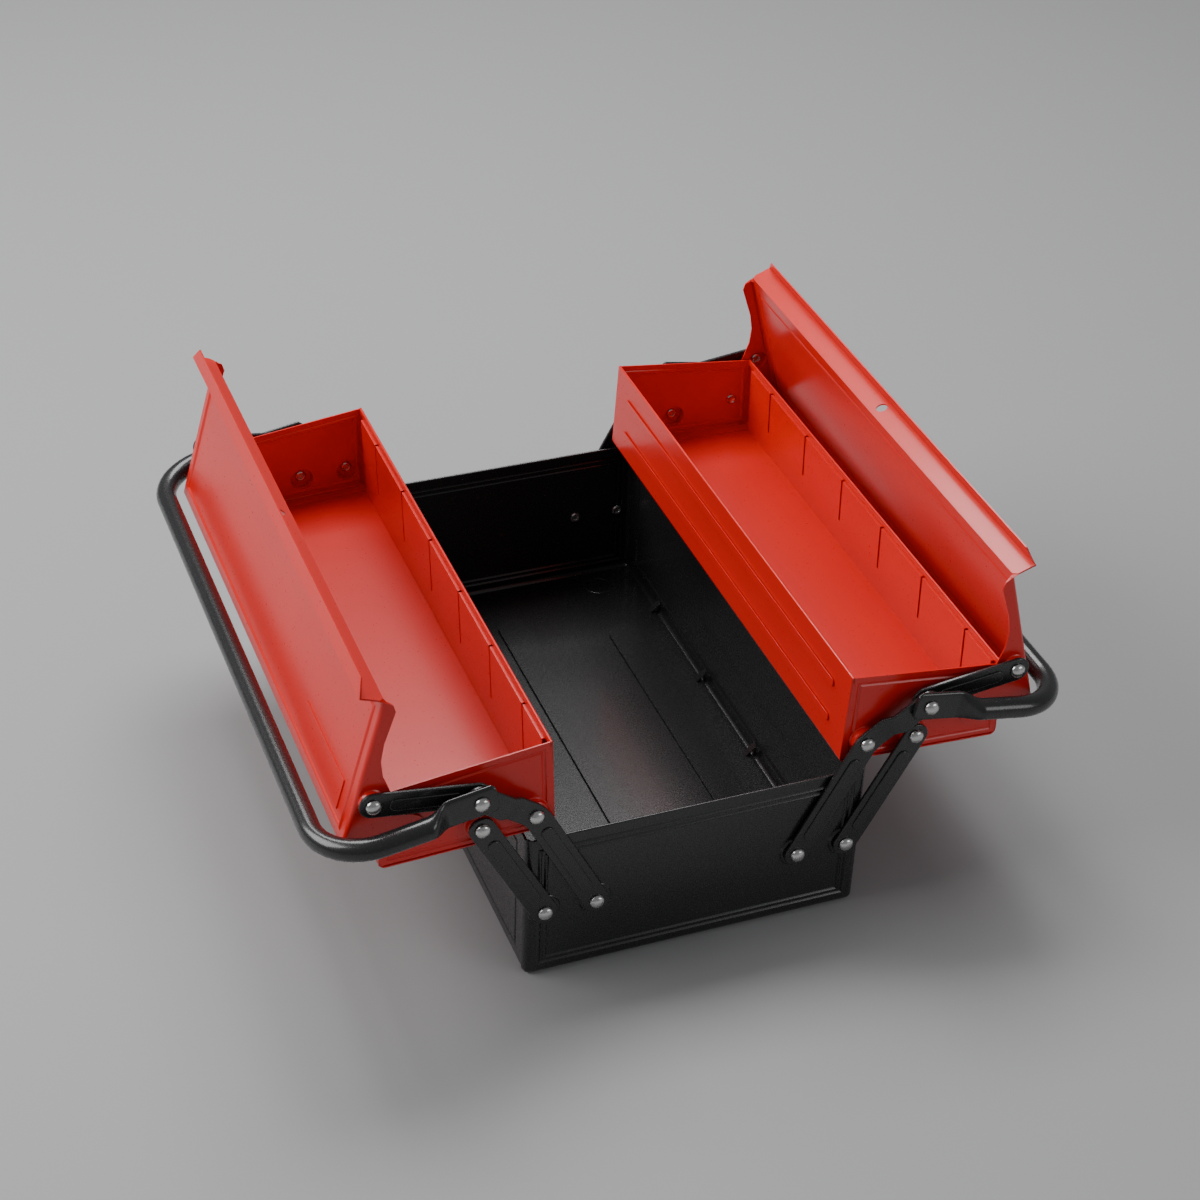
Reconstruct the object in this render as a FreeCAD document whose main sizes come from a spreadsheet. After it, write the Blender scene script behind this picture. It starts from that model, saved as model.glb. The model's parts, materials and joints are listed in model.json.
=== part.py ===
import FreeCAD, Part
import math
import os

import Sketcher

# Two-tray cantilever toolbox, drawn open. +Z is up, Y runs along the box from its front end
# (-Y) to its rear end (+Y), and the trays swing out to the right (+X) and to the left (-X).
# The origin is the middle of the base's bottom face. Each right-hand piece is drawn, and the
# other copies of a pressing are mirrored from it, because the box is made from paired pressings.

Vector = FreeCAD.Vector
Y_AXIS = Vector(0, 1, 0)

doc = FreeCAD.newDocument("toolbox")
sheet = doc.addObject("Spreadsheet::Sheet", "Sizes")

# ---------------------------------------------------------------- driving dimensions (mm, deg)
SIZES = {
    # base box
    "base_length": 350.0,
    "base_width": 197.0,
    "base_height": 95.5,
    "floor_lift": 1.2,
    "foot_radius": 9.0,
    "foot_side_inset": 29.0,
    "foot_end_inset": 20.0,
    "base_boss_radius": 9.0,
    # sheet metal
    "sheet_thickness": 0.8,
    "hem_depth": 6.0,
    # link work, seen from the end of the box
    "pivot_inset": 10.3,
    "pivot_drop": 48.9,
    "pivot_spacing": 29.3,
    "link_length": 77.0,
    "link_width": 14.6,
    "link_thickness": 2.0,
    "open_lean": 27.5,
    "fold_angle": 60.0,
    "elbow_reach": 39.4,
    "elbow_bend": 27.3,
    "joggle_reach": 17.5,
    "joggle_gap": 1.6,
    # trays, drawn level about their inner pivot
    "tray_end_gap": 3.0,
    "tray_overhang": 3.0,
    "tray_meeting_gap": 11.0,
    "tray_rim_gap": 1.8,
    "tray_inner_rise": 42.2,
    "tray_outer_rise": 35.0,
    "tray_wall_lean": 3.5,
    "tray_boss_radius": 7.4,
    "tray_tilt": 2.5,
    "end_flange": 8.0,
    "tray_hem": 3.5,
    # divider strips
    "strip_thickness": 0.6,
    "strip_stand_off": 2.6,
    "slot_end_margin": 38.8,
    "slot_width": 1.6,
    "slot_bottom_rise": 16.0,
    # lids, drawn shut about their hinge
    "hinge_inset": 15.0,
    "hinge_rise": 7.7,
    "lid_side_gap": 1.5,
    "lid_top_gap": 3.9,
    "lid_lip_width": 8.8,
    "lid_step_height": 12.6,
    "lid_skirt": 12.0,
    "lid_meeting_gap": 0.8,
    "lid_open_angle": 70.4,
    "ear_radius": 11.5,
    "hasp_radius": 3.4,
    # lid links
    "lid_arm": 30.7,
    "lid_arm_angle": 125.2,
    "lid_link_slot": 3.1,
    "lid_boss_radius": 6.6,
    # handles, drawn flat from their pivot
    "grip_gap": 11.0,
    "handle_droop": 10.0,
    "handle_tube_radius": 6.0,
    "handle_tube_step": 5.5,
    "handle_bend_radius": 31.0,
    "handle_flat_width": 17.6,
    "handle_flat_thickness": 3.2,
    "handle_flat_length": 16.0,
    # rivets and clearances
    "pin_radius": 2.5,
    "head_radius": 4.25,
    "head_height": 2.6,
    "tail_radius": 3.4,
    "tail_height": 1.2,
    "running_clearance": 0.08,
    "side_clearance": 0.3,
    "pivot_play": 0.6,
    "slot_play": 0.8,
}

for row, (name, value) in enumerate(SIZES.items(), start=1):
    sheet.set(f"A{row}", name)
    sheet.set(f"B{row}", str(value))
    sheet.setAlias(f"B{row}", name)
doc.recompute()


def size(name):
    return f"Sizes.{name}"


def value_of(expression):
    result = sheet.evalExpression(expression)
    return float(getattr(result, "Value", result))


# ---------------------------------------------------------------- sizes that follow from those
THICK = size("sheet_thickness")
HALF_LENGTH = f"{size('base_length')} / 2"
HALF_WIDTH = f"{size('base_width')} / 2"
TRAY_HALF = f"({HALF_LENGTH} - {size('tray_end_gap')})"
PIN = size("pin_radius")
BORE = f"{size('pin_radius')} + {size('running_clearance')}"
LINK_HALF = f"{size('link_width')} / 2"

# The base's corner flanges stop short of the outer base rivets' tails.
TAIL_ROOM = f"({size('tail_radius')} + {size('side_clearance')})"
CORNER_FLANGE = f"({size('pivot_inset')} - {THICK} - {TAIL_ROOM})"

# Distances along Y from the middle of the box to each layer of the link work at one end.
BOSS_FACE = f"({HALF_LENGTH} + 1)"
LINK_INNER = f"({BOSS_FACE} + {size('side_clearance')})"
LINK_OUTER = f"({LINK_INNER} + {size('link_thickness')})"
LINK_HEAD = f"({LINK_OUTER} + {size('side_clearance')})"
JOGGLE = f"({size('link_thickness')} + {size('joggle_gap')})"
ELBOW_INNER = f"({LINK_INNER} + {JOGGLE})"
ELBOW_OUTER = f"({LINK_OUTER} + {JOGGLE})"
HANDLE_INNER = f"({ELBOW_OUTER} + {size('side_clearance')})"
HANDLE_OUTER = f"({HANDLE_INNER} + {size('handle_flat_thickness')})"
HANDLE_HEAD = f"({HANDLE_OUTER} + {size('side_clearance')})"
HANDLE_MIDDLE = f"(({HANDLE_INNER} + {HANDLE_OUTER}) / 2)"
HANDLE_LINE = f"({HANDLE_MIDDLE} + {size('handle_tube_step')})"
BOSS_SEAT = f"({BOSS_FACE} - {THICK})"
EAR_INNER = f"({TRAY_HALF} + {THICK})"
EAR_OUTER = f"({EAR_INNER} + {THICK})"
EAR_HEAD = f"({EAR_OUTER} + {size('side_clearance')})"

# The pivots, as (x, z) pairs. A tray hangs on its inner link, so its other points turn with it.
TILT = size("tray_tilt")
PIVOT_RISE = f"({size('base_height')} - {size('pivot_drop')})"
OUTER_BASE = (f"({HALF_WIDTH} - {size('pivot_inset')})", PIVOT_RISE)
INNER_BASE = (f"({OUTER_BASE[0]} - {size('pivot_spacing')})", PIVOT_RISE)
INNER_TRAY = (
    f"{INNER_BASE[0]} + {size('link_length')} * sin({size('open_lean')})",
    f"{PIVOT_RISE} + {size('link_length')} * cos({size('open_lean')})",
)

# The box shut: a tray sits just over the rim, overhangs the base's side and stops short of
# the other tray. Those gaps give a tray's floor and walls, measured from its inner pivot.
SHUT_LEAN = f"({size('fold_angle')} - {size('open_lean')})"
SHUT_X = f"({INNER_BASE[0]} - {size('link_length')} * sin({SHUT_LEAN}))"
SHUT_RISE = f"({size('link_length')} * cos({SHUT_LEAN}) - {size('pivot_drop')})"
TRAY_DROP = f"({SHUT_RISE} - {size('tray_rim_gap')})"
INNER_WALL = f"({size('tray_meeting_gap')} / 2 - {SHUT_X})"
OUTER_FOOT = f"({HALF_WIDTH} + {size('tray_overhang')} - {SHUT_X})"
HINGE_REACH = f"({OUTER_FOOT} - {size('hinge_inset')})"


def on_tray(along, up):
    x = f"{INNER_TRAY[0]} + ({along}) * cos({TILT}) + ({up}) * sin({TILT})"
    z = f"{INNER_TRAY[1]} - ({along}) * sin({TILT}) + ({up}) * cos({TILT})"
    return x, z


OUTER_TRAY = on_tray(size("pivot_spacing"), "0")
LID_HINGE = on_tray(HINGE_REACH, size("hinge_rise"))
OPEN_RISE = f"(90 - {size('open_lean')} - {size('elbow_bend')})"
ELBOW = (
    f"{INNER_TRAY[0]} + {size('elbow_reach')} * cos({OPEN_RISE})",
    f"{INNER_TRAY[1]} + {size('elbow_reach')} * sin({OPEN_RISE})",
)
ARM_ANGLE = f"({size('lid_arm_angle')} - {size('lid_open_angle')})"
LID_ARM_END = (
    f"{LID_HINGE[0]} + {size('lid_arm')} * cos({ARM_ANGLE})",
    f"{LID_HINGE[1]} + {size('lid_arm')} * sin({ARM_ANGLE})",
)

# A tray dips outward when open and is level when shut, so its outer link is a little short
# and leans a little more than the inner one.
TRAY_DIP = f"{size('pivot_spacing')} * sin({TILT})"
OUTER_LINK_LENGTH = f"({size('link_length')} - 0.5 * {TRAY_DIP} * cos({size('open_lean')}))"
OUTER_LINK_SPREAD = f"atan({TRAY_DIP} * sin({size('open_lean')}) / {size('link_length')})"
OUTER_LINK_LEAN = f"({size('open_lean')} + {OUTER_LINK_SPREAD} / 1 deg)"

# A lid clears the tray's outer wall and both rims, and its lip meets the other lid's.
LID_EDGE = f"({size('hinge_inset')} - {size('tray_wall_lean')} + {size('lid_side_gap')} + {THICK})"
LID_RISE = f"({size('lid_top_gap')} - {size('hinge_rise')})"
LID_CORNER = f"({size('tray_outer_rise')} + {LID_RISE})"
LID_FOLD = f"({size('tray_inner_rise')} + {LID_RISE})"
LID_LIP = f"({SHUT_X} + {HINGE_REACH} - {size('lid_meeting_gap')} / 2)"
LID_FOLD_REACH = f"({LID_LIP} - {size('lid_lip_width')})"

# A handle's grip passes just outside the open lid's lower edge.
LID_TURN = size("lid_open_angle")
HEEL_X = f"({LID_HINGE[0]} + {LID_EDGE} * cos({LID_TURN}) + {LID_CORNER} * sin({LID_TURN}))"
HEEL_Z = f"({LID_HINGE[1]} - {LID_EDGE} * sin({LID_TURN}) + {LID_CORNER} * cos({LID_TURN}))"
DROOP = size("handle_droop")
HEEL_REACH = (
    f"(({HEEL_X} - ({ELBOW[0]})) * cos({DROOP}) - ({HEEL_Z} - ({ELBOW[1]})) * sin({DROOP}))"
)
HANDLE_REACH = f"({HEEL_REACH} + {size('grip_gap')})"


# ---------------------------------------------------------------- drawing tools
def new_body(label):
    body = doc.addObject("PartDesign::Body", label)
    body.Label = label
    return body


def new_sketch(body, role, offset="0"):
    sketch = body.newObject("Sketcher::SketchObject", f"{body.Name}_sketch")
    plane = [f for f in body.Origin.OriginFeatures if f.Role == role][0]
    sketch.AttachmentSupport = [(plane, "")]
    sketch.MapMode = "FlatFace"
    sketch.setExpression("AttachmentOffset.Base.z", offset)
    return sketch


def bind(sketch, kind, *place, expression):
    """Add one constraint whose value is an expression on the sheet."""
    index = sketch.addConstraint(Sketcher.Constraint(kind, *place, value_of(expression)))
    sketch.setExpression(f"Constraints[{index}]", expression)


def pin_point(sketch, geometry, position, point):
    bind(sketch, "DistanceX", -1, 1, geometry, position, expression=point[0])
    bind(sketch, "DistanceY", -1, 1, geometry, position, expression=point[1])


def corner_arc(before, corner, after, radius):
    """The arc that rounds one corner: its first and last point on the path, and the arc."""
    back = (before - corner).normalize()
    ahead = (after - corner).normalize()
    half = back.getAngle(ahead) / 2
    reach = radius / math.tan(half)
    start = corner + back * reach
    end = corner + ahead * reach
    centre = corner + (back + ahead).normalize() * (radius / math.sin(half))
    turns_left = back.cross(ahead).z < 0
    first, last = (start, end) if turns_left else (end, start)
    circle = Part.Circle(centre, Vector(0, 0, 1), radius)
    arc = Part.ArcOfCircle(circle, circle.parameter(first), circle.parameter(last))
    return start, end, arc, turns_left


def outline(sketch, points):
    """A closed outline. Each point is (x, y), or (x, y, radius) for a rounded corner."""
    corners = [Vector(value_of(p[0]), value_of(p[1]), 0) for p in points]
    count = len(points)
    starts, ends, arcs = list(corners), list(corners), {}
    for i, point in enumerate(points):
        if len(point) == 3:
            radius = value_of(point[2])
            found = corner_arc(corners[i - 1], corners[i], corners[(i + 1) % count], radius)
            starts[i], ends[i] = found[0], found[1]
            arcs[i] = (sketch.addGeometry(found[2]), found[3])
    lines = []
    for i in range(count):
        lines.append(sketch.addGeometry(Part.LineSegment(ends[i], starts[(i + 1) % count])))
    for i, point in enumerate(points):
        before, after = lines[i - 1], lines[i]
        if i not in arcs:
            sketch.addConstraint(Sketcher.Constraint("Coincident", before, 2, after, 1))
            pin_point(sketch, after, 1, point)
            continue
        arc, turns_left = arcs[i]
        entry, leave = (1, 2) if turns_left else (2, 1)
        sketch.addConstraint(Sketcher.Constraint("Tangent", before, 2, arc, entry))
        sketch.addConstraint(Sketcher.Constraint("Tangent", after, 1, arc, leave))
        bind(sketch, "Radius", arc, expression=point[2])
        mark = sketch.addGeometry(Part.Point(corners[i]), True)
        sketch.addConstraint(Sketcher.Constraint("PointOnObject", mark, 1, before))
        sketch.addConstraint(Sketcher.Constraint("PointOnObject", mark, 1, after))
        pin_point(sketch, mark, 1, point)


def circle(sketch, centre, radius):
    middle = Vector(value_of(centre[0]), value_of(centre[1]), 0)
    ring = sketch.addGeometry(Part.Circle(middle, Vector(0, 0, 1), value_of(radius)))
    pin_point(sketch, ring, 3, centre)
    bind(sketch, "Radius", ring, expression=radius)


def rectangle(sketch, low, high):
    outline(sketch, [low, (high[0], low[1]), high, (low[0], high[1])])


def pad(body, sketch, length, both_ways=False):
    feature = body.newObject("PartDesign::Pad", f"{body.Name}_pad")
    feature.Profile = sketch
    feature.setExpression("Length", length)
    if both_ways:
        feature.SideType = "Symmetric"
    sketch.Visibility = False
    return feature


def pocket(body, sketch, length, both_ways=False):
    """Cut a sketch to a depth against its normal, and check that it took metal away."""
    doc.recompute()
    before = body.Shape.Volume
    feature = body.newObject("PartDesign::Pocket", f"{body.Name}_pocket")
    feature.Profile = sketch
    feature.setExpression("Length", length)
    if both_ways:
        feature.SideType = "Symmetric"
    doc.recompute()
    if body.Shape.Volume >= before:
        raise ValueError(f"{body.Label}: a pocket removed nothing")
    return feature


def end_plate(body, start, thickness, draw):
    """Pad an outline lying across the box from one distance along -Y to the next."""
    sketch = new_sketch(body, "XZ_Plane", start)
    draw(sketch)
    return pad(body, sketch, thickness)


def drill(body, centre, radius, deep="2 * Sizes.base_length"):
    """A hole through everything in its way, along Y."""
    sketch = new_sketch(body, "XZ_Plane")
    circle(sketch, centre, radius)
    pocket(body, sketch, deep, both_ways=True)


def drill_front(body, centre, radius, start, depth):
    """A blind hole along Y whose bottom is at start + depth from the middle of the box."""
    sketch = new_sketch(body, "XZ_Plane", f"{start} + {depth}")
    circle(sketch, centre, radius)
    pocket(body, sketch, depth)


def mirror_ends(body, features):
    """Repeat features at the other end of a piece, across the box's middle."""
    mirrored = body.newObject("PartDesign::Mirrored", f"{body.Name}_mirrored")
    mirrored.Originals = features
    plane = [f for f in body.Origin.OriginFeatures if f.Role == "XZ_Plane"][0]
    mirrored.MirrorPlane = (plane, [""])
    body.Tip = mirrored
    doc.recompute()
    return mirrored


def place(body, point, turn="0"):
    """Put a piece's own origin at a pivot and turn it clockwise as seen from the front."""
    body.Placement = FreeCAD.Placement(Vector(), FreeCAD.Rotation(Y_AXIS, 10))
    body.setExpression("Placement.Base.x", point[0])
    body.setExpression("Placement.Base.z", point[1])
    body.setExpression("Placement.Rotation.Angle", turn)


def mirrored(source, label, normal):
    copy = doc.addObject("Part::Mirroring", label)
    copy.Label = label
    copy.Source = source
    copy.Base = Vector(0, 0, 0)
    copy.Normal = normal
    return copy


ACROSS = Vector(1, 0, 0)
ALONG = Vector(0, 1, 0)
nodes = []


def keep(node):
    nodes.append(node)
    return node


def keep_four(source, name):
    """Keep a right-hand front pressing with its rear and left-hand twins."""
    rear = mirrored(source, f"{name}_right_rear", ALONG)
    source.Label = f"{name}_right_front"
    keep(source)
    keep(rear)
    keep(mirrored(source, f"{name}_left_front", ACROSS))
    keep(mirrored(rear, f"{name}_left_rear", ACROSS))


def keep_pair(source, name):
    """Keep a right-hand piece with its left-hand twin, turned half round the box."""
    source.Label = f"{name}_right"
    turned = mirrored(source, f"{name}_turned", ALONG)
    keep(source)
    keep(mirrored(turned, f"{name}_left", ACROSS))


# ---------------------------------------------------------------- base box
def make_base_body():
    """Floor and side walls in one folded sheet, with rolled rims, corner flanges and feet."""
    body = new_body("base_body")
    floor_top = f"{size('floor_lift')} + {THICK}"
    inside = f"{HALF_WIDTH} - {THICK}"
    rim = f"{HALF_WIDTH} - 2 * {THICK}"
    rim_low = f"{size('base_height')} - {size('hem_depth')}"
    half = [
        (HALF_WIDTH, size("base_height")),
        (rim, size("base_height")),
        (rim, rim_low),
        (inside, rim_low),
        (inside, floor_top),
    ]
    left = [(f"-({x})", z) for x, z in half]
    bottom = [(f"-({HALF_WIDTH})", size("floor_lift")), (HALF_WIDTH, size("floor_lift"))]
    sketch = new_sketch(body, "XZ_Plane")
    outline(sketch, left + half[::-1] + bottom[::-1])
    pad(body, sketch, f"{size('base_length')} - 2 * {THICK}", both_ways=True)

    flange_inner = f"{HALF_LENGTH} - 2 * {THICK}"
    features = []
    for side in ("", "-"):
        def flange(drawing, side=side):
            low = f"{side}({inside} - {CORNER_FLANGE})"
            rectangle(drawing, (low, floor_top), (f"{side}({inside})", size("base_height")))
        features.append(end_plate(body, flange_inner, THICK, flange))
    feet = new_sketch(body, "XY_Plane")
    dishes = new_sketch(body, "XY_Plane", floor_top)
    for side in ("", "-"):
        middle = (
            f"{side}({HALF_WIDTH} - {size('foot_side_inset')})",
            f"-({HALF_LENGTH} - {size('foot_end_inset')})",
        )
        circle(feet, middle, size("foot_radius"))
        circle(dishes, middle, f"{size('foot_radius')} - {THICK}")
    features.append(pad(body, feet, size("floor_lift")))
    features.append(pocket(body, dishes, size("floor_lift")))
    mirror_ends(body, features)
    keep(body)


def make_base_end():
    """An end panel with a rolled rim and a raised boss behind each link."""
    body = new_body("base_end_front")
    panel_inner = f"{HALF_LENGTH} - {THICK}"

    def panel(drawing):
        rectangle(drawing, (f"-({HALF_WIDTH})", "0"), (HALF_WIDTH, size("base_height")))

    def hem(drawing):
        reach = f"({HALF_WIDTH} - {THICK} - {CORNER_FLANGE} - {size('side_clearance')})"
        low = f"{size('base_height')} - {size('hem_depth')}"
        rectangle(drawing, (f"-{reach}", low), (reach, size("base_height")))

    end_plate(body, panel_inner, THICK, panel)
    end_plate(body, f"{panel_inner} - {THICK}", THICK, hem)
    for x, z in (INNER_BASE, OUTER_BASE):
        for side in ("", "-"):
            centre = (f"{side}({x})", z)

            def boss(drawing, centre=centre):
                circle(drawing, centre, size("base_boss_radius"))

            end_plate(body, HALF_LENGTH, "1", boss)
            drill(body, centre, PIN)
    keep(body)
    keep(mirrored(body, "base_end_rear", ALONG))


# ---------------------------------------------------------------- rivets
def make_rivet(label, centre, inner, seat):
    """One rivet along Y: upset tail inside, straight shank, domed head outside."""
    body = new_body(label)
    sketch = new_sketch(body, "YZ_Plane")
    top = f"({seat} + {size('head_height')})"
    ball = f"(({size('head_radius')}^2 + {size('head_height')}^2) / (2 * {size('head_height')}))"
    tail = f"({inner} - {size('tail_height')})"
    path = [
        (f"-{top}", "0"),
        (f"-{seat}", size("head_radius")),
        (f"-{seat}", PIN),
        (f"-{inner}", PIN),
        (f"-{inner}", size("tail_radius")),
        (f"-{tail}", size("tail_radius")),
        (f"-{tail}", "0"),
    ]
    spots = [Vector(value_of(y), value_of(radius), 0) for y, radius in path]
    middle = Vector(value_of(f"{ball} - {top}"), 0, 0)
    ring = Part.Circle(middle, Vector(0, 0, 1), value_of(ball))
    arc = Part.ArcOfCircle(ring, ring.parameter(spots[1]), ring.parameter(spots[0]))
    dome = sketch.addGeometry(arc)
    lines = []
    for start, end in zip(spots[1:], spots[2:] + spots[:1]):
        lines.append(sketch.addGeometry(Part.LineSegment(start, end)))
    for before, after, point in zip(lines, lines[1:], path[2:]):
        sketch.addConstraint(Sketcher.Constraint("Coincident", before, 2, after, 1))
        pin_point(sketch, after, 1, point)
    sketch.addConstraint(Sketcher.Constraint("Coincident", dome, 1, lines[0], 1))
    sketch.addConstraint(Sketcher.Constraint("Coincident", dome, 2, lines[-1], 2))
    sketch.addConstraint(Sketcher.Constraint("PointOnObject", dome, 3, -1))
    pin_point(sketch, lines[0], 1, path[1])
    pin_point(sketch, lines[-1], 2, path[0])
    turned = body.newObject("PartDesign::Revolution", f"{label}_turned")
    turned.Profile = sketch
    turned.ReferenceAxis = (sketch, ["H_Axis"])
    turned.Angle = 360
    place(body, centre)
    return body


def rivet_group(label, rivets):
    group = doc.addObject("Part::Compound", label)
    group.Label = label
    group.Links = rivets
    return group


def with_rear(rivet):
    return [rivet, mirrored(rivet, f"{rivet.Name}_rear", ALONG)]


def make_rivets():
    """Every rivet rides on the piece that its shank is fixed in."""
    base_wall = f"({HALF_LENGTH} - {THICK})"
    flat_wall = f"({TRAY_HALF} - {THICK})"
    inner = with_rear(make_rivet("base_rivet_inner", INNER_BASE, base_wall, LINK_HEAD))
    outer = with_rear(make_rivet("base_rivet_outer", OUTER_BASE, base_wall, LINK_HEAD))
    right = inner + outer
    left = [mirrored(rivet, f"{rivet.Name}_left", ACROSS) for rivet in right]
    keep(rivet_group("base_rivets", right + left))

    groups = {
        "tray_rivets": [
            make_rivet("tray_rivet_inner", INNER_TRAY, BOSS_SEAT, LINK_HEAD),
            make_rivet("tray_rivet_outer", OUTER_TRAY, BOSS_SEAT, LINK_HEAD),
            make_hinge_rivet(flat_wall),
        ],
        "lid_rivets": [make_rivet("lid_rivet", LID_ARM_END, BOSS_SEAT, LINK_HEAD)],
        "handle_rivets": [
            make_rivet("handle_rivet", ELBOW, f"({LINK_INNER} - 0.2)", HANDLE_HEAD)
        ],
    }
    for name, fronts in groups.items():
        pieces = []
        for front in fronts:
            pieces += with_rear(front)
        keep_pair(rivet_group(f"{name}_right", pieces), name)


def make_hinge_rivet(inner):
    """The lid's hinge rivet has a flat, thin head, because the lid link swings past it."""
    body = new_body("hinge_rivet")
    tail = size("tail_height")
    layers = [
        (f"{inner} - {tail}", tail, size("tail_radius")),
        (inner, f"{EAR_HEAD} - {inner}", PIN),
        (EAR_HEAD, "1.4", size("head_radius")),
    ]
    for start, length, radius in layers:
        sketch = new_sketch(body, "XZ_Plane", start)
        circle(sketch, LID_HINGE, radius)
        pad(body, sketch, length)
    return body


# ---------------------------------------------------------------- links
def make_outer_link():
    """A straight link with round ends. Its upper bore has play, as the fold needs."""
    body = new_body("outer_link")
    length = OUTER_LINK_LENGTH
    end_plate(body, LINK_INNER, size("link_thickness"), link_strip(length))
    for x in ("0", length):
        end_plate(body, LINK_INNER, size("link_thickness"), round_end(x, "0"))
    drill(body, ("0", "0"), BORE)
    drill(body, (length, "0"), f"{BORE} + {size('pivot_play')}")
    place(body, OUTER_BASE, f"{OUTER_LINK_LEAN} - 90")
    keep_four(body, "outer_link")


def link_strip(length):
    def draw(sketch):
        rectangle(sketch, ("0", f"-{LINK_HALF}"), (length, LINK_HALF))
    return draw


def round_end(x, z):
    def draw(sketch):
        circle(sketch, (x, z), LINK_HALF)
    return draw


def make_inner_link():
    """A link bent outward past its tray pivot and joggled clear of the lid link."""
    body = new_body("inner_link")
    thick = size("link_thickness")
    length = size("link_length")

    def along(reach, side):
        x = f"{length} + ({reach}) * cos({size('elbow_bend')})"
        z = f"-({reach}) * sin({size('elbow_bend')})"
        return (
            f"{x} + ({side}) * sin({size('elbow_bend')})",
            f"{z} + ({side}) * cos({size('elbow_bend')})",
        )

    def arm(start, end):
        def draw(sketch):
            corners = [(start, f"-{LINK_HALF}"), (end, f"-{LINK_HALF}")]
            corners += [(end, LINK_HALF), (start, LINK_HALF)]
            outline(sketch, [along(reach, side) for reach, side in corners])
        return draw

    riser_start = f"{size('joggle_reach')} - {thick} / 2"
    riser_end = f"{size('joggle_reach')} + {thick} / 2"
    elbow = along(size("elbow_reach"), "0")
    end_plate(body, LINK_INNER, thick, link_strip(length))
    end_plate(body, LINK_INNER, thick, round_end("0", "0"))
    end_plate(body, LINK_INNER, thick, round_end(length, "0"))
    end_plate(body, LINK_INNER, thick, arm("0", riser_end))
    end_plate(body, LINK_INNER, f"{thick} + {JOGGLE}", arm(riser_start, riser_end))
    end_plate(body, ELBOW_INNER, thick, arm(riser_start, size("elbow_reach")))
    end_plate(body, ELBOW_INNER, thick, round_end(*elbow))
    drill(body, ("0", "0"), BORE)
    drill(body, (length, "0"), BORE)
    drill(body, elbow, PIN)
    place(body, INNER_BASE, f"{size('open_lean')} - 90")
    keep_four(body, "inner_link")


def make_lid_link():
    """A straight link from the elbow to the lid's ear. Its far bore is a slot towards the
    elbow, because the lid's swing is held in step with the fold."""
    body = new_body("lid_link")
    run_x = f"({LID_ARM_END[0]} - ({ELBOW[0]}))"
    run_z = f"({LID_ARM_END[1]} - ({ELBOW[1]}))"
    length = f"sqrt({run_x}^2 + {run_z}^2)"
    end_plate(body, LINK_INNER, size("link_thickness"), link_strip(length))
    for x in ("0", length):
        end_plate(body, LINK_INNER, size("link_thickness"), round_end(x, "0"))
    drill(body, ("0", "0"), BORE)
    half = f"({BORE} + {size('slot_play')})"
    near = f"{length} - {size('lid_link_slot')}"
    drill(body, (length, "0"), half)
    drill(body, (near, "0"), half)
    slot = new_sketch(body, "XZ_Plane")
    rectangle(slot, (near, f"-{half}"), (length, half))
    pocket(body, slot, "2 * Sizes.base_length", both_ways=True)
    place(body, ELBOW, f"-atan({run_z} / {run_x}) / 1 deg")
    keep_four(body, "lid_link")


# ---------------------------------------------------------------- trays
TRAY_FLOOR = f"-{TRAY_DROP}"
WALL_SLOPE = f"({size('tray_wall_lean')} / ({size('tray_outer_rise')} + {TRAY_DROP}))"


def outer_wall(height, inward="0"):
    """A point on the tray's outer wall at a height, set in from its outer face."""
    x = f"{OUTER_FOOT} - {WALL_SLOPE} * ({height} + {TRAY_DROP}) - ({inward})"
    return x, height


def make_tray_body():
    """Floor and long walls of a tray in one folded sheet, with a folded hem on each wall."""
    body = new_body("tray_body")
    floor_top = f"({TRAY_FLOOR} + {THICK})"
    inner_top = size("tray_inner_rise")
    outer_top = size("tray_outer_rise")
    inner_hem = f"{inner_top} - {size('tray_hem')}"
    outer_hem = f"({outer_top} - {size('tray_hem')})"
    sketch = new_sketch(body, "XZ_Plane")
    outline(sketch, [
        (INNER_WALL, inner_top),
        (INNER_WALL, TRAY_FLOOR),
        (OUTER_FOOT, TRAY_FLOOR),
        outer_wall(outer_top),
        outer_wall(outer_top, f"2 * {THICK}"),
        outer_wall(outer_hem, f"2 * {THICK}"),
        outer_wall(outer_hem, THICK),
        outer_wall(floor_top, THICK),
        (f"{INNER_WALL} + {THICK}", floor_top),
        (f"{INNER_WALL} + {THICK}", inner_hem),
        (f"{INNER_WALL} + 2 * {THICK}", inner_hem),
        (f"{INNER_WALL} + 2 * {THICK}", inner_top),
    ])
    pad(body, sketch, f"2 * {TRAY_HALF}", both_ways=True)
    place(body, INNER_TRAY, TILT)
    keep_pair(body, "tray_body")


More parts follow.
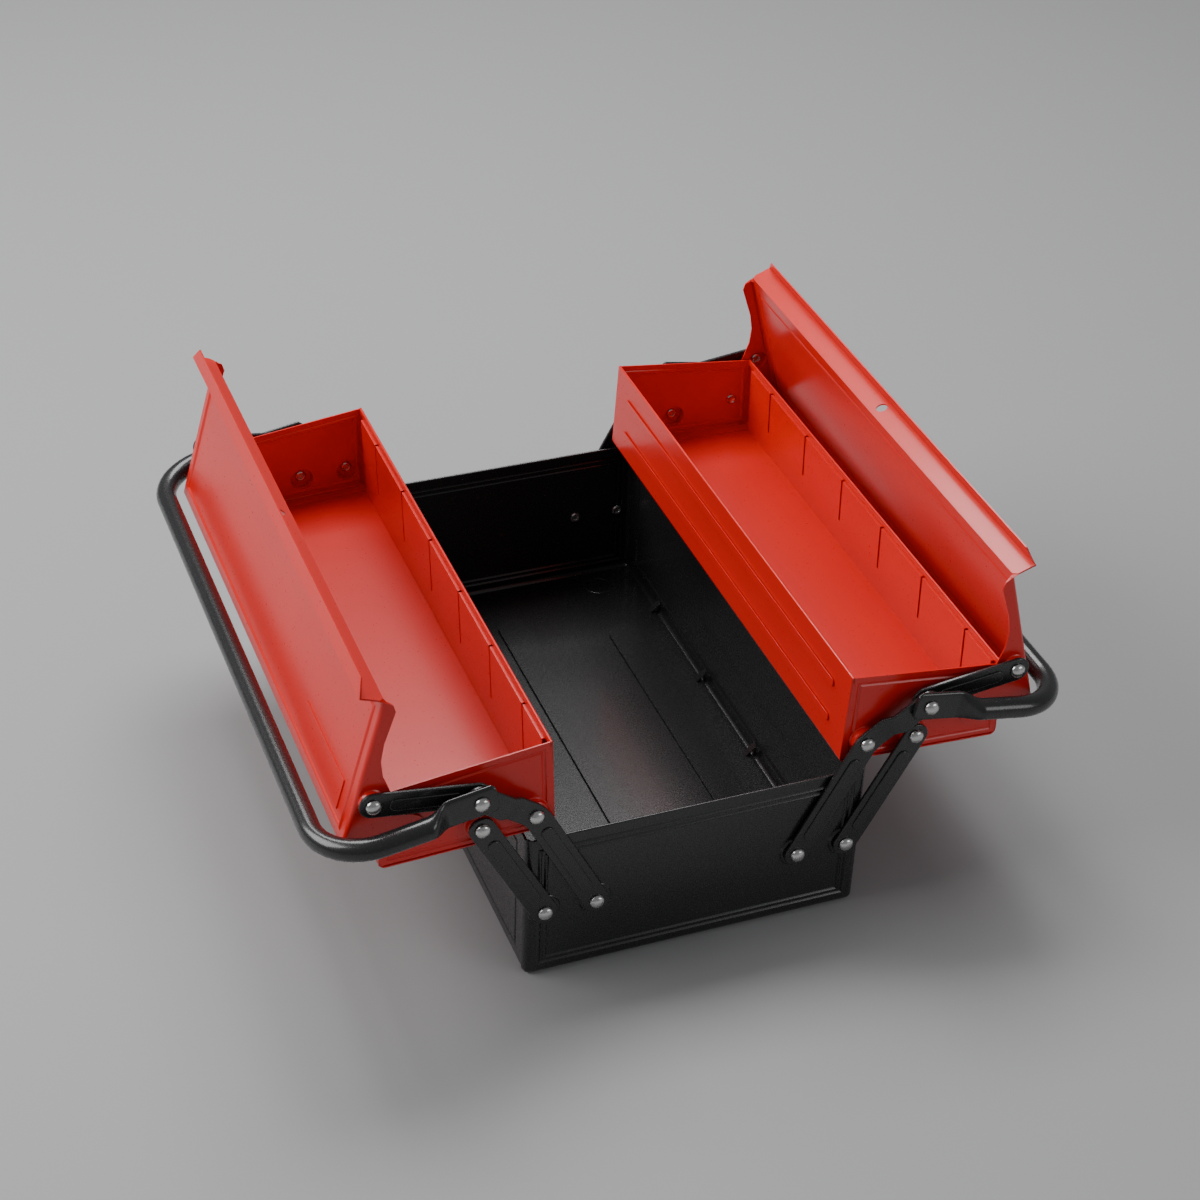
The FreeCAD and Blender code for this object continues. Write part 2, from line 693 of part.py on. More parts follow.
def make_tray_end():
    """An end wall with a foot flange, and deep pressed bosses that reach out to the links."""
    body = new_body("tray_end")
    wall = f"({TRAY_HALF} - {THICK})"
    floor_top = f"({TRAY_FLOOR} + {THICK})"
    inner = f"({INNER_WALL} + 2 * {THICK})"
    outer_top = outer_wall(size("tray_outer_rise"), f"2 * {THICK}")
    boss_height = f"({BOSS_FACE} - {TRAY_HALF})"

    def panel(drawing):
        outline(drawing, [
            (inner, floor_top),
            outer_wall(floor_top, f"2 * {THICK}"),
            outer_top,
            (inner, size("tray_inner_rise")),
        ])

    def flange(drawing):
        high = f"{floor_top} + {THICK}"
        far = outer_wall(high, f"2 * {THICK}")
        rectangle(drawing, (inner, floor_top), (far[0], high))

    end_plate(body, wall, THICK, panel)
    end_plate(body, f"{TRAY_HALF} - {size('end_flange')}", size("end_flange"), flange)
    for centre in (("0", "0"), (size("pivot_spacing"), "0")):
        def boss(drawing, centre=centre):
            circle(drawing, centre, size("tray_boss_radius"))

        end_plate(body, TRAY_HALF, boss_height, boss)
        drill_front(body, centre, f"{size('tray_boss_radius')} - {THICK}", wall, boss_height)
        drill(body, centre, PIN)
    drill(body, (HINGE_REACH, size("hinge_rise")), PIN)
    place(body, INNER_TRAY, TILT)
    keep_four(body, "tray_end")


def make_divider_strip(name, face, top_rise):
    """A slotted strip that stands off a long wall, to hold loose dividers. face(height,
    inward) gives a point set in from the wall's inside face."""
    body = new_body(name)
    top = f"({top_rise} - {size('tray_hem')} - 0.2)"
    floor_top = f"({TRAY_FLOOR} + {THICK})"
    skin = size("strip_thickness")
    front = size("strip_stand_off")
    sketch = new_sketch(body, "XZ_Plane")
    outline(sketch, [
        face(top, "0"),
        face(top, front),
        face(floor_top, front),
        face(floor_top, f"{front} - {skin}"),
        face(f"{top} - {skin}", f"{front} - {skin}"),
        face(f"{top} - {skin}", "0"),
    ])
    half = f"({TRAY_HALF} - {size('end_flange')} - {size('side_clearance')})"
    pad(body, sketch, f"2 * {half}", both_ways=True)
    cuts = new_sketch(body, "YZ_Plane")
    low = f"({floor_top} + {size('slot_bottom_rise')})"
    slots = 6
    pitch = f"(2 * ({TRAY_HALF} - {size('slot_end_margin')}) / {slots - 1})"
    for index in range(slots):
        middle = f"{index - (slots - 1) / 2} * {pitch}"
        half = f"{size('slot_width')} / 2"
        rectangle(cuts, (f"{middle} - {half}", low), (f"{middle} + {half}", f"{top} + 1"))
    pocket(body, cuts, "4 * Sizes.base_width", both_ways=True)
    place(body, INNER_TRAY, TILT)
    keep_pair(body, name)


def inner_face(height, inward):
    return f"{INNER_WALL} + {THICK} + ({inward})", height


def outer_face(height, inward):
    return outer_wall(height, f"{THICK} + ({inward})")


# ---------------------------------------------------------------- lids
def make_lid():
    """One folded sheet: skirt, panel, step and lip, with an ear at each end that carries the
    hinge and the lid link's boss."""
    body = new_body("lid")
    edge = LID_EDGE
    corner = LID_CORNER
    fold_x = f"-{LID_FOLD_REACH}"
    fold = LID_FOLD
    lip = f"({fold} + {size('lid_step_height')})"
    tip = f"-{LID_LIP}"
    sketch = new_sketch(body, "XZ_Plane")
    outline(sketch, [
        (edge, f"{corner} - {size('lid_skirt')}"),
        (edge, corner),
        (fold_x, fold),
        (fold_x, lip),
        (tip, lip),
        (tip, f"{lip} - {THICK}"),
        (f"{fold_x} - {THICK}", f"{lip} - {THICK}"),
        (f"{fold_x} - {THICK}", f"{fold} - {THICK}"),
        (f"{edge} - {THICK}", f"{corner} - {THICK}"),
        (f"{edge} - {THICK}", f"{corner} - {size('lid_skirt')}"),
    ])
    pad(body, sketch, f"2 * {EAR_OUTER}", both_ways=True)

    def ear(drawing):
        outline(drawing, [
            (f"{edge} - {THICK}", f"{corner} - {size('lid_skirt')}"),
            (f"{edge} - {THICK}", f"{corner} - {THICK} / 2"),
            (fold_x, f"{fold} - {THICK} / 2"),
            (f"{fold_x} + 2.8", f"{fold} - 7.9", "4"),
            (f"{fold_x} + 39.3", f"{fold} - 11", "45"),
            (f"-{size('ear_radius')} + 0.7", "4"),
            ("0", "0"),
            (size("ear_radius"), "0"),
        ])

    def ear_end(drawing):
        circle(drawing, ("0", "0"), size("ear_radius"))

    arm_end = (
        f"{size('lid_arm')} * cos({size('lid_arm_angle')})",
        f"{size('lid_arm')} * sin({size('lid_arm_angle')})",
    )

    def boss(drawing):
        circle(drawing, arm_end, size("lid_boss_radius"))

    def recess(drawing):
        circle(drawing, arm_end, f"{size('lid_boss_radius')} - {THICK}")

    features = [
        end_plate(body, EAR_INNER, THICK, ear),
        end_plate(body, EAR_INNER, THICK, ear_end),
        end_plate(body, EAR_OUTER, f"({BOSS_FACE} - {EAR_OUTER})", boss),
    ]
    hollow = new_sketch(body, "XZ_Plane", BOSS_SEAT)
    recess(hollow)
    features.append(pocket(body, hollow, f"({BOSS_SEAT} - {EAR_INNER})"))
    mirror_ends(body, features)
    drill(body, ("0", "0"), BORE)
    drill(body, arm_end, PIN)
    hasp = new_sketch(body, "YZ_Plane", f"{fold_x} - {THICK} / 2")
    circle(hasp, ("0", f"{fold} + {size('lid_step_height')} / 2"), size("hasp_radius"))
    pocket(body, hasp, f"4 * {THICK}", both_ways=True)
    place(body, LID_HINGE, size("lid_open_angle"))
    keep_pair(body, "lid")


# ---------------------------------------------------------------- handles
def make_handle():
    """A bent tube, pressed flat at each end and pinned to an elbow with one rivet."""
    body = new_body("handle")
    tube = size("handle_tube_radius")
    bend = size("handle_bend_radius")
    line_y = HANDLE_LINE
    reach = HANDLE_REACH
    flat_end = size("handle_flat_length")
    tube_start = f"({flat_end} + 12)"

    ring = new_sketch(body, "YZ_Plane", tube_start)
    circle(ring, (f"-{line_y}", "0"), tube)
    path = new_sketch(body, "XY_Plane")
    open_path(path, tube_start, reach, line_y, bend)
    pipe = body.newObject("PartDesign::AdditivePipe", "handle_tube")
    pipe.Profile = ring
    pipe.Spine = path
    pipe.Transition = "Transformed"
    doc.recompute()

    features = []
    half_wide = f"{size('handle_flat_width')} / 2"
    half_thick = f"{size('handle_flat_thickness')} / 2"
    press = new_sketch(body, "YZ_Plane", flat_end)
    round_bar(press, f"-{HANDLE_MIDDLE}", half_thick, half_wide)
    shoulder = new_sketch(body, "YZ_Plane", tube_start)
    circle(shoulder, (f"-{line_y}", "0"), tube)
    loft = body.newObject("PartDesign::AdditiveLoft", "handle_shoulder")
    loft.Profile = press
    loft.Sections = [shoulder]
    features.append(loft)
    back = f"-{half_wide}"

    def flat(drawing):
        outline(drawing, [
            (back, f"-{half_wide}", "4"),
            (flat_end, f"-{half_wide}"),
            (flat_end, half_wide),
            (back, half_wide, "4"),
        ])

    features.append(end_plate(body, HANDLE_INNER, size("handle_flat_thickness"), flat))
    mirror_ends(body, features)
    drill(body, ("0", "0"), BORE)
    place(body, ELBOW, DROOP)
    keep_pair(body, "handle")


def round_bar(sketch, middle, half_thick, half_wide):
    corner = "0.6"
    outline(sketch, [
        (f"{middle} - {half_thick}", f"-{half_wide}", corner),
        (f"{middle} + {half_thick}", f"-{half_wide}", corner),
        (f"{middle} + {half_thick}", half_wide, corner),
        (f"{middle} - {half_thick}", half_wide, corner),
    ])


def open_path(sketch, start, reach, line_y, bend):
    """The handle's centre line: arm, bend, grip, bend, arm."""
    x0, x1 = value_of(start), value_of(reach)
    y, r = value_of(line_y), value_of(bend)
    z_axis = Vector(0, 0, 1)
    front = sketch.addGeometry(Part.LineSegment(Vector(x0, -y, 0), Vector(x1 - r, -y, 0)))
    ring = Part.Circle(Vector(x1 - r, -y + r, 0), z_axis, r)
    near = sketch.addGeometry(Part.ArcOfCircle(ring, -math.pi / 2, 0))
    grip = sketch.addGeometry(Part.LineSegment(Vector(x1, -y + r, 0), Vector(x1, y - r, 0)))
    ring = Part.Circle(Vector(x1 - r, y - r, 0), z_axis, r)
    far = sketch.addGeometry(Part.ArcOfCircle(ring, 0, math.pi / 2))
    rear = sketch.addGeometry(Part.LineSegment(Vector(x1 - r, y, 0), Vector(x0, y, 0)))
    for first, one, second, two in (
        (front, 2, near, 1),
        (near, 2, grip, 1),
        (grip, 2, far, 1),
        (far, 2, rear, 1),
    ):
        sketch.addConstraint(Sketcher.Constraint("Coincident", first, one, second, two))
    pin_point(sketch, front, 1, (start, f"-{line_y}"))
    pin_point(sketch, front, 2, (f"{reach} - {bend}", f"-{line_y}"))
    pin_point(sketch, grip, 1, (reach, f"-{line_y} + {bend}"))
    pin_point(sketch, grip, 2, (reach, f"{line_y} - {bend}"))
    pin_point(sketch, rear, 1, (f"{reach} - {bend}", line_y))
    pin_point(sketch, rear, 2, (start, line_y))
    for arc in (near, far):
        bind(sketch, "Radius", arc, expression=bend)


# ---------------------------------------------------------------- build, check and write
make_base_body()
make_base_end()
make_outer_link()
make_inner_link()
make_lid_link()
make_tray_body()
make_tray_end()
make_divider_strip("divider_strip_inner", inner_face, size("tray_inner_rise"))
make_divider_strip("divider_strip_outer", outer_face, size("tray_outer_rise"))
make_lid()
make_handle()
make_rivets()
doc.recompute()

for item in doc.Objects:
    if "Invalid" in item.State or "Error" in item.State:
        raise ValueError(f"{item.Label} did not compute")

os.makedirs("parts", exist_ok=True)
for node in nodes:
    shape = node.Shape
    if shape.isNull() or not shape.isValid():
        raise ValueError(f"{node.Label} has no valid shape")
    shape.exportStep(os.path.join("parts", f"{node.Label}.step"))
    print(f"{node.Label:24s} {len(shape.Solids)} solids {shape.Volume:10.1f} mm3")
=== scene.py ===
import json
import math
import bmesh
import bpy
from mathutils import Matrix, Vector


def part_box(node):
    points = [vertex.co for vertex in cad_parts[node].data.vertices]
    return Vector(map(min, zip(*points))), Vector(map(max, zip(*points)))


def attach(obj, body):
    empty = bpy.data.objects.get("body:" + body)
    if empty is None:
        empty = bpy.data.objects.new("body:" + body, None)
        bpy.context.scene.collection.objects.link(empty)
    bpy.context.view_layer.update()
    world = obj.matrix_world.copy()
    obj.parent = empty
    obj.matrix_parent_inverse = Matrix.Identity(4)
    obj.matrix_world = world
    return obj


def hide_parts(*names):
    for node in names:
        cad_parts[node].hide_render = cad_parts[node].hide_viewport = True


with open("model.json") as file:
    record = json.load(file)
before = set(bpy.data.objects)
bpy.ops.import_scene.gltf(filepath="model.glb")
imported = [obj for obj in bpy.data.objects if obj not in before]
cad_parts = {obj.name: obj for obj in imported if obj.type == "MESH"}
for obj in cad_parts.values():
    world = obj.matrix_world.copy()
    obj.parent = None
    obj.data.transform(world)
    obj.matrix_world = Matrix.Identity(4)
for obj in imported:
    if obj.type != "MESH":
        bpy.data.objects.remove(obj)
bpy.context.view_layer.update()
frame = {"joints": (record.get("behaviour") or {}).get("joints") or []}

# ---------------------------------------------------------------- tub
# The tub is one steel sheet folded up at both sides, with its rims rolled inward. Ribs,
# foot rings and bend darts are pressed into it, and it is painted with satin black enamel.
SHEET = 0.8
TUB_BEND = 4.0
HEM = 6.0
RIM_BEND = 0.7
FLOOR_UNDER = 1.2
SIDE_BEAD = (9, 2.6, -0.9)
FLOOR_RIBS = ((-66, 108), (0, 135), (66, 108))
RIB_END, RIB_WIDTH, RIB_RISE, RIB_SHOULDER = 10, 20, 2.4, 0.075
DARTS_ALONG = (-117, -39, 39, 117)
DART_WIDTH, DART_RISE = 4.5, 1.6
FOOT_IN, FOOT_ALONG = 29, 155
FOOT_RING = [(7.2, 0), (7.8, 0.7), (8.6, 0.9), (9.3, 0.6), (9.8, 0)]
FOOT_PAD = [(9.8, 0), (9.2, 0.9), (8.4, 1.2), (0, 1.2)]
CORNER_RETURN = 4.6
SAME_PLACE = 0.02
CUT_SNAP = 0.0001

pivot = {joint["name"]: Vector(joint["pos_m"]) * 1000 for joint in frame["joints"]}


def box_mm(node):
    low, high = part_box(node)
    return Vector(low) * 1000, Vector(high) * 1000


def node_in(tree, kind, values=None, **settings):
    node = tree.nodes.new(kind)
    for key, value in settings.items():
        setattr(node, key, value)
    for key, value in (values or {}).items():
        node.inputs[key].default_value = value
    return node


def worn_edge(tree, coords, width, cover):
    """A mask that is bright on outer and inner corners and broken up by noise."""
    link = tree.links.new
    soft = node_in(tree, "ShaderNodeBevel", {"Radius": width}, samples=4)
    plain = node_in(tree, "ShaderNodeNewGeometry")
    match = node_in(tree, "ShaderNodeVectorMath", operation="DOT_PRODUCT")
    link(soft.outputs["Normal"], match.inputs[0])
    link(plain.outputs["Normal"], match.inputs[1])
    patch = node_in(tree, "ShaderNodeTexNoise", {"Scale": 160.0, "Detail": 4.0})
    link(coords, patch.inputs["Vector"])
    edge = node_in(tree, "ShaderNodeMapRange",
                   {"From Min": 0.97, "From Max": 0.72, "To Min": 0.0, "To Max": 1.0})
    link(match.outputs["Value"], edge.inputs["Value"])
    broken = node_in(tree, "ShaderNodeMapRange",
                     {"From Min": 0.52, "From Max": 0.68, "To Min": 0.0, "To Max": cover})
    link(patch.outputs["Fac"], broken.inputs["Value"])
    both = node_in(tree, "ShaderNodeMath", operation="MULTIPLY")
    link(edge.outputs["Result"], both.inputs[0])
    link(broken.outputs["Result"], both.inputs[1])
    return both.outputs["Value"]


def blend_colour(tree, amount, first, second):
    mix = node_in(tree, "ShaderNodeMix", data_type="RGBA")
    tree.links.new(amount, mix.inputs["Factor"])
    for socket, colour in ((mix.inputs["A"], first), (mix.inputs["B"], second)):
        if isinstance(colour, tuple):
            socket.default_value = (*colour, 1.0)
        else:
            tree.links.new(colour, socket)
    return mix.outputs["Result"]


def coated_metal(name, deep, bright, worn, roughness, grain, relief, metallic=0.0,
                 coat=0.0, dust=(0.0, 0.0), wear=0.3):
    """A metal finish: slow colour drift, fine grain in bump and gloss, specks, worn edges."""
    finish = bpy.data.materials.new(name)
    finish.use_nodes = True
    tree = finish.node_tree
    link = tree.links.new
    shader = tree.nodes["Principled BSDF"]
    coords = node_in(tree, "ShaderNodeTexCoord").outputs["Object"]
    drift = node_in(tree, "ShaderNodeTexNoise", {"Scale": 11.0, "Detail": 3.0})
    fine = node_in(tree, "ShaderNodeTexNoise", {"Scale": grain, "Detail": 3.0})
    speck = node_in(tree, "ShaderNodeTexNoise", {"Scale": 1500.0, "Detail": 1.0})
    for noise in (drift, fine, speck):
        link(coords, noise.inputs["Vector"])
    colour = blend_colour(tree, drift.outputs["Fac"], deep, bright)
    dots = node_in(tree, "ShaderNodeMapRange",
                   {"From Min": 0.71, "From Max": 0.76, "To Min": 0.0, "To Max": dust[1]})
    link(speck.outputs["Fac"], dots.inputs["Value"])
    colour = blend_colour(tree, dots.outputs["Result"], colour, (dust[0],) * 3)
    worn_mask = worn_edge(tree, coords, 0.0004, wear)
    link(blend_colour(tree, worn_mask, colour, worn), shader.inputs["Base Color"])
    gloss = node_in(tree, "ShaderNodeMapRange",
                    {"From Min": 0.3, "From Max": 0.7,
                     "To Min": roughness - 0.04, "To Max": roughness + 0.05})
    link(fine.outputs["Fac"], gloss.inputs["Value"])
    link(gloss.outputs["Result"], shader.inputs["Roughness"])
    bump = node_in(tree, "ShaderNodeBump", {"Strength": relief, "Distance": 0.0003})
    link(fine.outputs["Fac"], bump.inputs["Height"])
    link(bump.outputs["Normal"], shader.inputs["Normal"])
    shader.inputs["Metallic"].default_value = metallic
    shader.inputs["Coat Weight"].default_value = coat
    shader.inputs["Coat Roughness"].default_value = 0.12
    return finish


black_enamel = coated_metal("satin_black_enamel", (0.008, 0.008, 0.009), (0.017, 0.017, 0.018),
                            (0.12, 0.11, 0.10), 0.27, 1100.0, 0.08, coat=0.35,
                            dust=(0.35, 0.15))


def edges_where(mesh, test):
    return [e for e in mesh.edges if all(test(v.co) for v in e.verts)]


def near(value, target):
    return abs(value - target) < SAME_PLACE


def fold_along(mesh, edges, radius, turn=90.0, segments=5):
    """Round bend edges to a radius, given how far the sheet turns there."""
    reach = radius * math.tan(math.radians(turn) / 2)
    bmesh.ops.bevel(mesh, geom=list(dict.fromkeys(edges)), offset=reach,
                    offset_type="OFFSET", segments=segments, affect="EDGES", profile=0.5,
                    material=-1, clamp_overlap=True)


def draw_out(mesh, edges, step):
    """Draw edges on by a step, and return the new edges and their points."""
    drawn = bmesh.ops.extrude_edge_only(mesh, edges=edges)["geom"]
    points = [part for part in drawn if isinstance(part, bmesh.types.BMVert)]
    bmesh.ops.translate(mesh, vec=step, verts=points)
    return [part for part in drawn if isinstance(part, bmesh.types.BMEdge)
            and all(v in points for v in part.verts)], points


def everything(mesh):
    return mesh.verts[:] + mesh.edges[:] + mesh.faces[:]


def slice_at(mesh, parts, spot, across):
    bmesh.ops.bisect_plane(mesh, geom=parts, plane_co=spot, plane_no=across, dist=CUT_SNAP)


def folded_strip(points, low, high):
    """An open sheet: a line of corners in x and z, drawn out along y."""
    mesh = bmesh.new()
    corners = [mesh.verts.new((x, low, z)) for x, z in points]
    line = [mesh.edges.new(pair) for pair in zip(corners, corners[1:])]
    draw_out(mesh, line, (0, high - low, 0))
    return mesh


def face_away_from(mesh, inside):
    """Turn the whole sheet over if its faces look toward a point on its inner side."""
    inside = Vector(inside)
    mesh.normal_update()
    look = sum((f.calc_center_median() - inside).dot(f.normal) * f.calc_area()
               for f in mesh.faces)
    if look < 0:
        bmesh.ops.reverse_faces(mesh, faces=mesh.faces[:])


def press_frame(mesh, face, margin, width, height):
    """Press a raised bead round a panel, with mitred corners."""
    steps = ((margin, 0), (0.22, 0.6), (0.18, 0.4), (0.2, 0), (0.18, -0.4), (0.22, -0.6))
    for index, (inward, rise) in enumerate(steps):
        thick = inward if index == 0 else inward * width
        bmesh.ops.inset_region(mesh, faces=[face], thickness=thick, depth=rise * height,
                               use_even_offset=True, use_boundary=True)


def largest_face(mesh, direction):
    direction = Vector(direction)
    mesh.normal_update()
    looking = [f for f in mesh.faces if f.normal.dot(direction) > 0.9]
    return max(looking, key=lambda f: f.calc_area())


def pressed_rib(mesh, start, end, width, height, up, shoulder=0.09, root=0.0):
    """Add a raised rib with round ends; a root closes it below, inside a solid piece."""
    start, end, up = Vector(start), Vector(end), Vector(up).normalized()
    rib = bmesh.new()
    bmesh.ops.create_circle(rib, cap_ends=True, segments=24, radius=width / 2)
    bmesh.ops.rotate(rib, verts=rib.verts[:], matrix=Matrix.Rotation(math.pi / 24, 3, "Z"))
    tip = [v for v in rib.verts if v.co.x > 0]
    bmesh.ops.translate(rib, verts=tip, vec=((end - start).length, 0, 0))
    cap = rib.faces[:]
    if cap[0].normal.z < 0:
        bmesh.ops.reverse_faces(rib, faces=cap)
    for inward, rise in ((0.5, 0.2), (0.8, 0.5), (0.5, 0.2), (0.8, 0.1)):
        bmesh.ops.inset_region(rib, faces=cap, thickness=inward * shoulder * width,
                               depth=rise * height)
    if root:
        draw_out(rib, [e for e in rib.edges if e.is_boundary], (0, 0, -root))
        bmesh.ops.contextual_create(rib, geom=[e for e in rib.edges if e.is_boundary])
        bmesh.ops.recalc_face_normals(rib, faces=rib.faces[:])
    along = (end - start).normalized()
    turn = Matrix((along, up.cross(along), up)).transposed()
    bmesh.ops.transform(rib, matrix=Matrix.Translation(start) @ turn.to_4x4(),
                        verts=rib.verts[:])
    add_to(mesh, rib)


def add_to(mesh, extra):
    holder = bpy.data.meshes.new("holder")
    extra.to_mesh(holder)
    extra.free()
    mesh.from_mesh(holder)
    bpy.data.meshes.remove(holder)


def turned(points):
    """Spin a line of (radius, height) points into a round piece about its own z axis."""
    mesh = bmesh.new()
    line = [mesh.verts.new((radius, 0, height)) for radius, height in points]
    edges = [mesh.edges.new(pair) for pair in zip(line, line[1:])]
    bmesh.ops.spin(mesh, geom=line + edges, cent=(0, 0, 0), axis=(0, 0, 1), dvec=(0, 0, 0),
                   angle=math.tau, steps=32, use_merge=True)
    bmesh.ops.remove_doubles(mesh, verts=mesh.verts[:], dist=0.0005)
    bmesh.ops.recalc_face_normals(mesh, faces=mesh.faces[:])
    return mesh


def add_turned(mesh, points, centre, axis="-Y"):
    piece = turned(points)
    facing = {"-Y": Matrix.Rotation(math.pi / 2, 4, "X"), "Z": Matrix.Identity(4),
              "-Z": Matrix.Rotation(math.pi, 4, "X")}[axis]
    bmesh.ops.transform(piece, matrix=Matrix.Translation(Vector(centre)) @ facing,
                        verts=piece.verts[:])
    add_to(mesh, piece)


def hang(mesh, place):
    bmesh.ops.transform(mesh, matrix=place, verts=mesh.verts[:])


def fit(name, mesh, body, nodes, finish, wall=0.0, edge=0.22, place=None):
    """Set a finished piece in the frame, give sheet its thickness, and tie it to its body."""
    work = mesh.copy()
    if place is not None:
        hang(work, place)
        if place.determinant() < 0:
            bmesh.ops.reverse_faces(work, faces=work.faces[:])
    bmesh.ops.scale(work, vec=(0.001,) * 3, verts=work.verts[:])
    data = bpy.data.meshes.new(name)
    work.to_mesh(data)
    work.free()
    data.polygons.foreach_set("use_smooth", [True] * len(data.polygons))
    data.set_sharp_from_angle(angle=math.radians(38))
    data.materials.append(finish)
    piece = bpy.data.objects.new(name, data)
    bpy.context.scene.collection.objects.link(piece)
    if wall:
        shell = piece.modifiers.new("wall", "SOLIDIFY")
        shell.thickness = wall / 1000
        shell.offset = -1
        shell.use_even_offset = True
        shell.thickness_clamp = 1.0
    if edge:
        soften = piece.modifiers.new("edge", "BEVEL")
        soften.width = edge / 1000
        soften.segments = 2
        soften.limit_method = "ANGLE"
        soften.angle_limit = math.radians(50)
    even = piece.modifiers.new("flat_shading", "WEIGHTED_NORMAL")
    even.keep_sharp = True
    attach(piece, body)
    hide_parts(*nodes)
    return piece


tub_high = box_mm("base_body")[1]
half_width, tub_top = tub_high.x, tub_high.z
floor_face = FLOOR_UNDER + SHEET
half_tub = tub_high.y + SHEET - CORNER_RETURN
rolled = half_width - 2 * SHEET
tub = folded_strip([(-rolled, tub_top - HEM), (-rolled, tub_top), (-half_width, tub_top),
                    (-half_width, FLOOR_UNDER), (half_width, FLOOR_UNDER),
                    (half_width, tub_top), (rolled, tub_top), (rolled, tub_top - HEM)],
                   -half_tub, half_tub)
face_away_from(tub, (0, 0, 60))
for side in (-1, 1):
    press_frame(tub, largest_face(tub, (side, 0, 0)), *SIDE_BEAD)
    fold_along(tub, edges_where(tub, lambda c: near(c.x, side * half_width)
                                and near(c.z, FLOOR_UNDER)), TUB_BEND, segments=6)
    for x in (half_width, rolled):
        fold_along(tub, edges_where(tub, lambda c: near(c.x, side * x)
                                    and near(c.z, tub_top)), RIM_BEND, segments=3)
    for y in DARTS_ALONG:
        pressed_rib(tub, (side * (half_width - 1.6), y, floor_face + 4.6),
                    (side * (half_width - 5.6), y, floor_face + 0.6),
                    DART_WIDTH, DART_RISE, (-side, 0, 1))
for x, reach in FLOOR_RIBS:
    pressed_rib(tub, (x, -reach + RIB_END, floor_face), (x, reach - RIB_END, floor_face),
                RIB_WIDTH, RIB_RISE, (0, 0, 1), RIB_SHOULDER)
for x in (-half_width + FOOT_IN, half_width - FOOT_IN):
    for y in (-FOOT_ALONG, FOOT_ALONG):
        add_turned(tub, FOOT_RING, (x, y, floor_face), "Z")
        add_turned(tub, FOOT_PAD, (x, y, FLOOR_UNDER), "-Z")
fit("tub_sheet", tub, "base", ["base_body"], black_enamel, SHEET)

# ---------------------------------------------------------------- tub ends
# Each end is a pressed steel panel welded over the folded sheet. Its corners wrap round to
# the sides, two nested beads stiffen it, and round bosses hold the links clear of it.
END_CORNER = 4.0
END_BEADS = ((6.6, 2.4, 0.85), (1.2, 2.4, 0.85))
BOSS_RISE = 1.0
BOSS_RIM = [(9.6, 0), (9.1, 0.35), (8.8, 0.85), (8.2, BOSS_RISE), (0, BOSS_RISE)]
ENDS = (("front", Matrix.Identity(4)), ("rear", Matrix.Scale(-1, 4, (0, 1, 0))))
end_face = -box_mm("base_end_rear")[1].y + BOSS_RISE

end_panel = bmesh.new()
bmesh.ops.create_cube(end_panel, size=1.0)
bmesh.ops.scale(end_panel, vec=(2 * half_width, CORNER_RETURN, tub_top),
                verts=end_panel.verts[:])
bmesh.ops.translate(end_panel, vec=(0, end_face + CORNER_RETURN / 2, tub_top / 2),
                    verts=end_panel.verts[:])
end_panel.normal_update()
open_sides = [f for f in end_panel.faces if f.normal.z > 0.9 or f.normal.y > 0.9]
bmesh.ops.delete(end_panel, geom=open_sides, context="FACES")
front = largest_face(end_panel, (0, -1, 0))
for bead in END_BEADS:
    press_frame(end_panel, front, *bead)
fold_along(end_panel, edges_where(end_panel, lambda c: near(c.y, end_face)
                                  and near(c.x, half_width))
           + edges_where(end_panel, lambda c: near(c.y, end_face) and near(c.x, -half_width))
           + edges_where(end_panel, lambda c: near(c.y, end_face) and near(c.z, 0))
           + edges_where(end_panel, lambda c: near(c.x, half_width) and near(c.z, 0))
           + edges_where(end_panel, lambda c: near(c.x, -half_width) and near(c.z, 0)),
           END_CORNER)
rim = edges_where(end_panel, lambda c: near(c.y, end_face) and near(c.z, tub_top))
for step in ((0, 2 * SHEET, 0), (0, 0, -HEM)):
    rim = draw_out(end_panel, rim, step)[0]
bmesh.ops.recalc_face_normals(end_panel, faces=end_panel.faces[:])
face_away_from(end_panel, (0, 0, 45))
for y in (end_face, end_face + 2 * SHEET):
    fold_along(end_panel, edges_where(end_panel, lambda c: near(c.y, y)
                                      and near(c.z, tub_top)), RIM_BEND, segments=3)
for name in ("right_fold", "right_outer_link"):
    for side in (-1, 1):
        add_turned(end_panel, BOSS_RIM, (side * pivot[name].x, end_face, pivot[name].z))
for where, place in ENDS:
    fit(f"tub_end_{where}_panel", end_panel, "base", [f"base_end_{where}"], black_enamel,
        SHEET, place=place)

# ---------------------------------------------------------------- trays
# Each tray is one folded steel sheet in baked red enamel, its rims hemmed. Two long beads
# keep its tall inner wall straight, and it hangs dipped a little outward on the links.
TRAY_TILT = math.radians(2.5)
INNER_WALL, OUTER_FOOT, TRAY_FLOOR = -12.03, 83.97, -14.24
INNER_TOP, OUTER_TOP, WALL_LEAN, TRAY_HEM = 42.2, 35.0, 3.5, 3.5
INNER_BEND, OUTER_BEND = 2.4, 4.0
TRAY_BEAD_HEIGHTS, TRAY_BEAD_END, TRAY_BEAD_WIDTH, TRAY_BEAD_RISE = (3.0, 26.0), 20, 4.5, 1.1

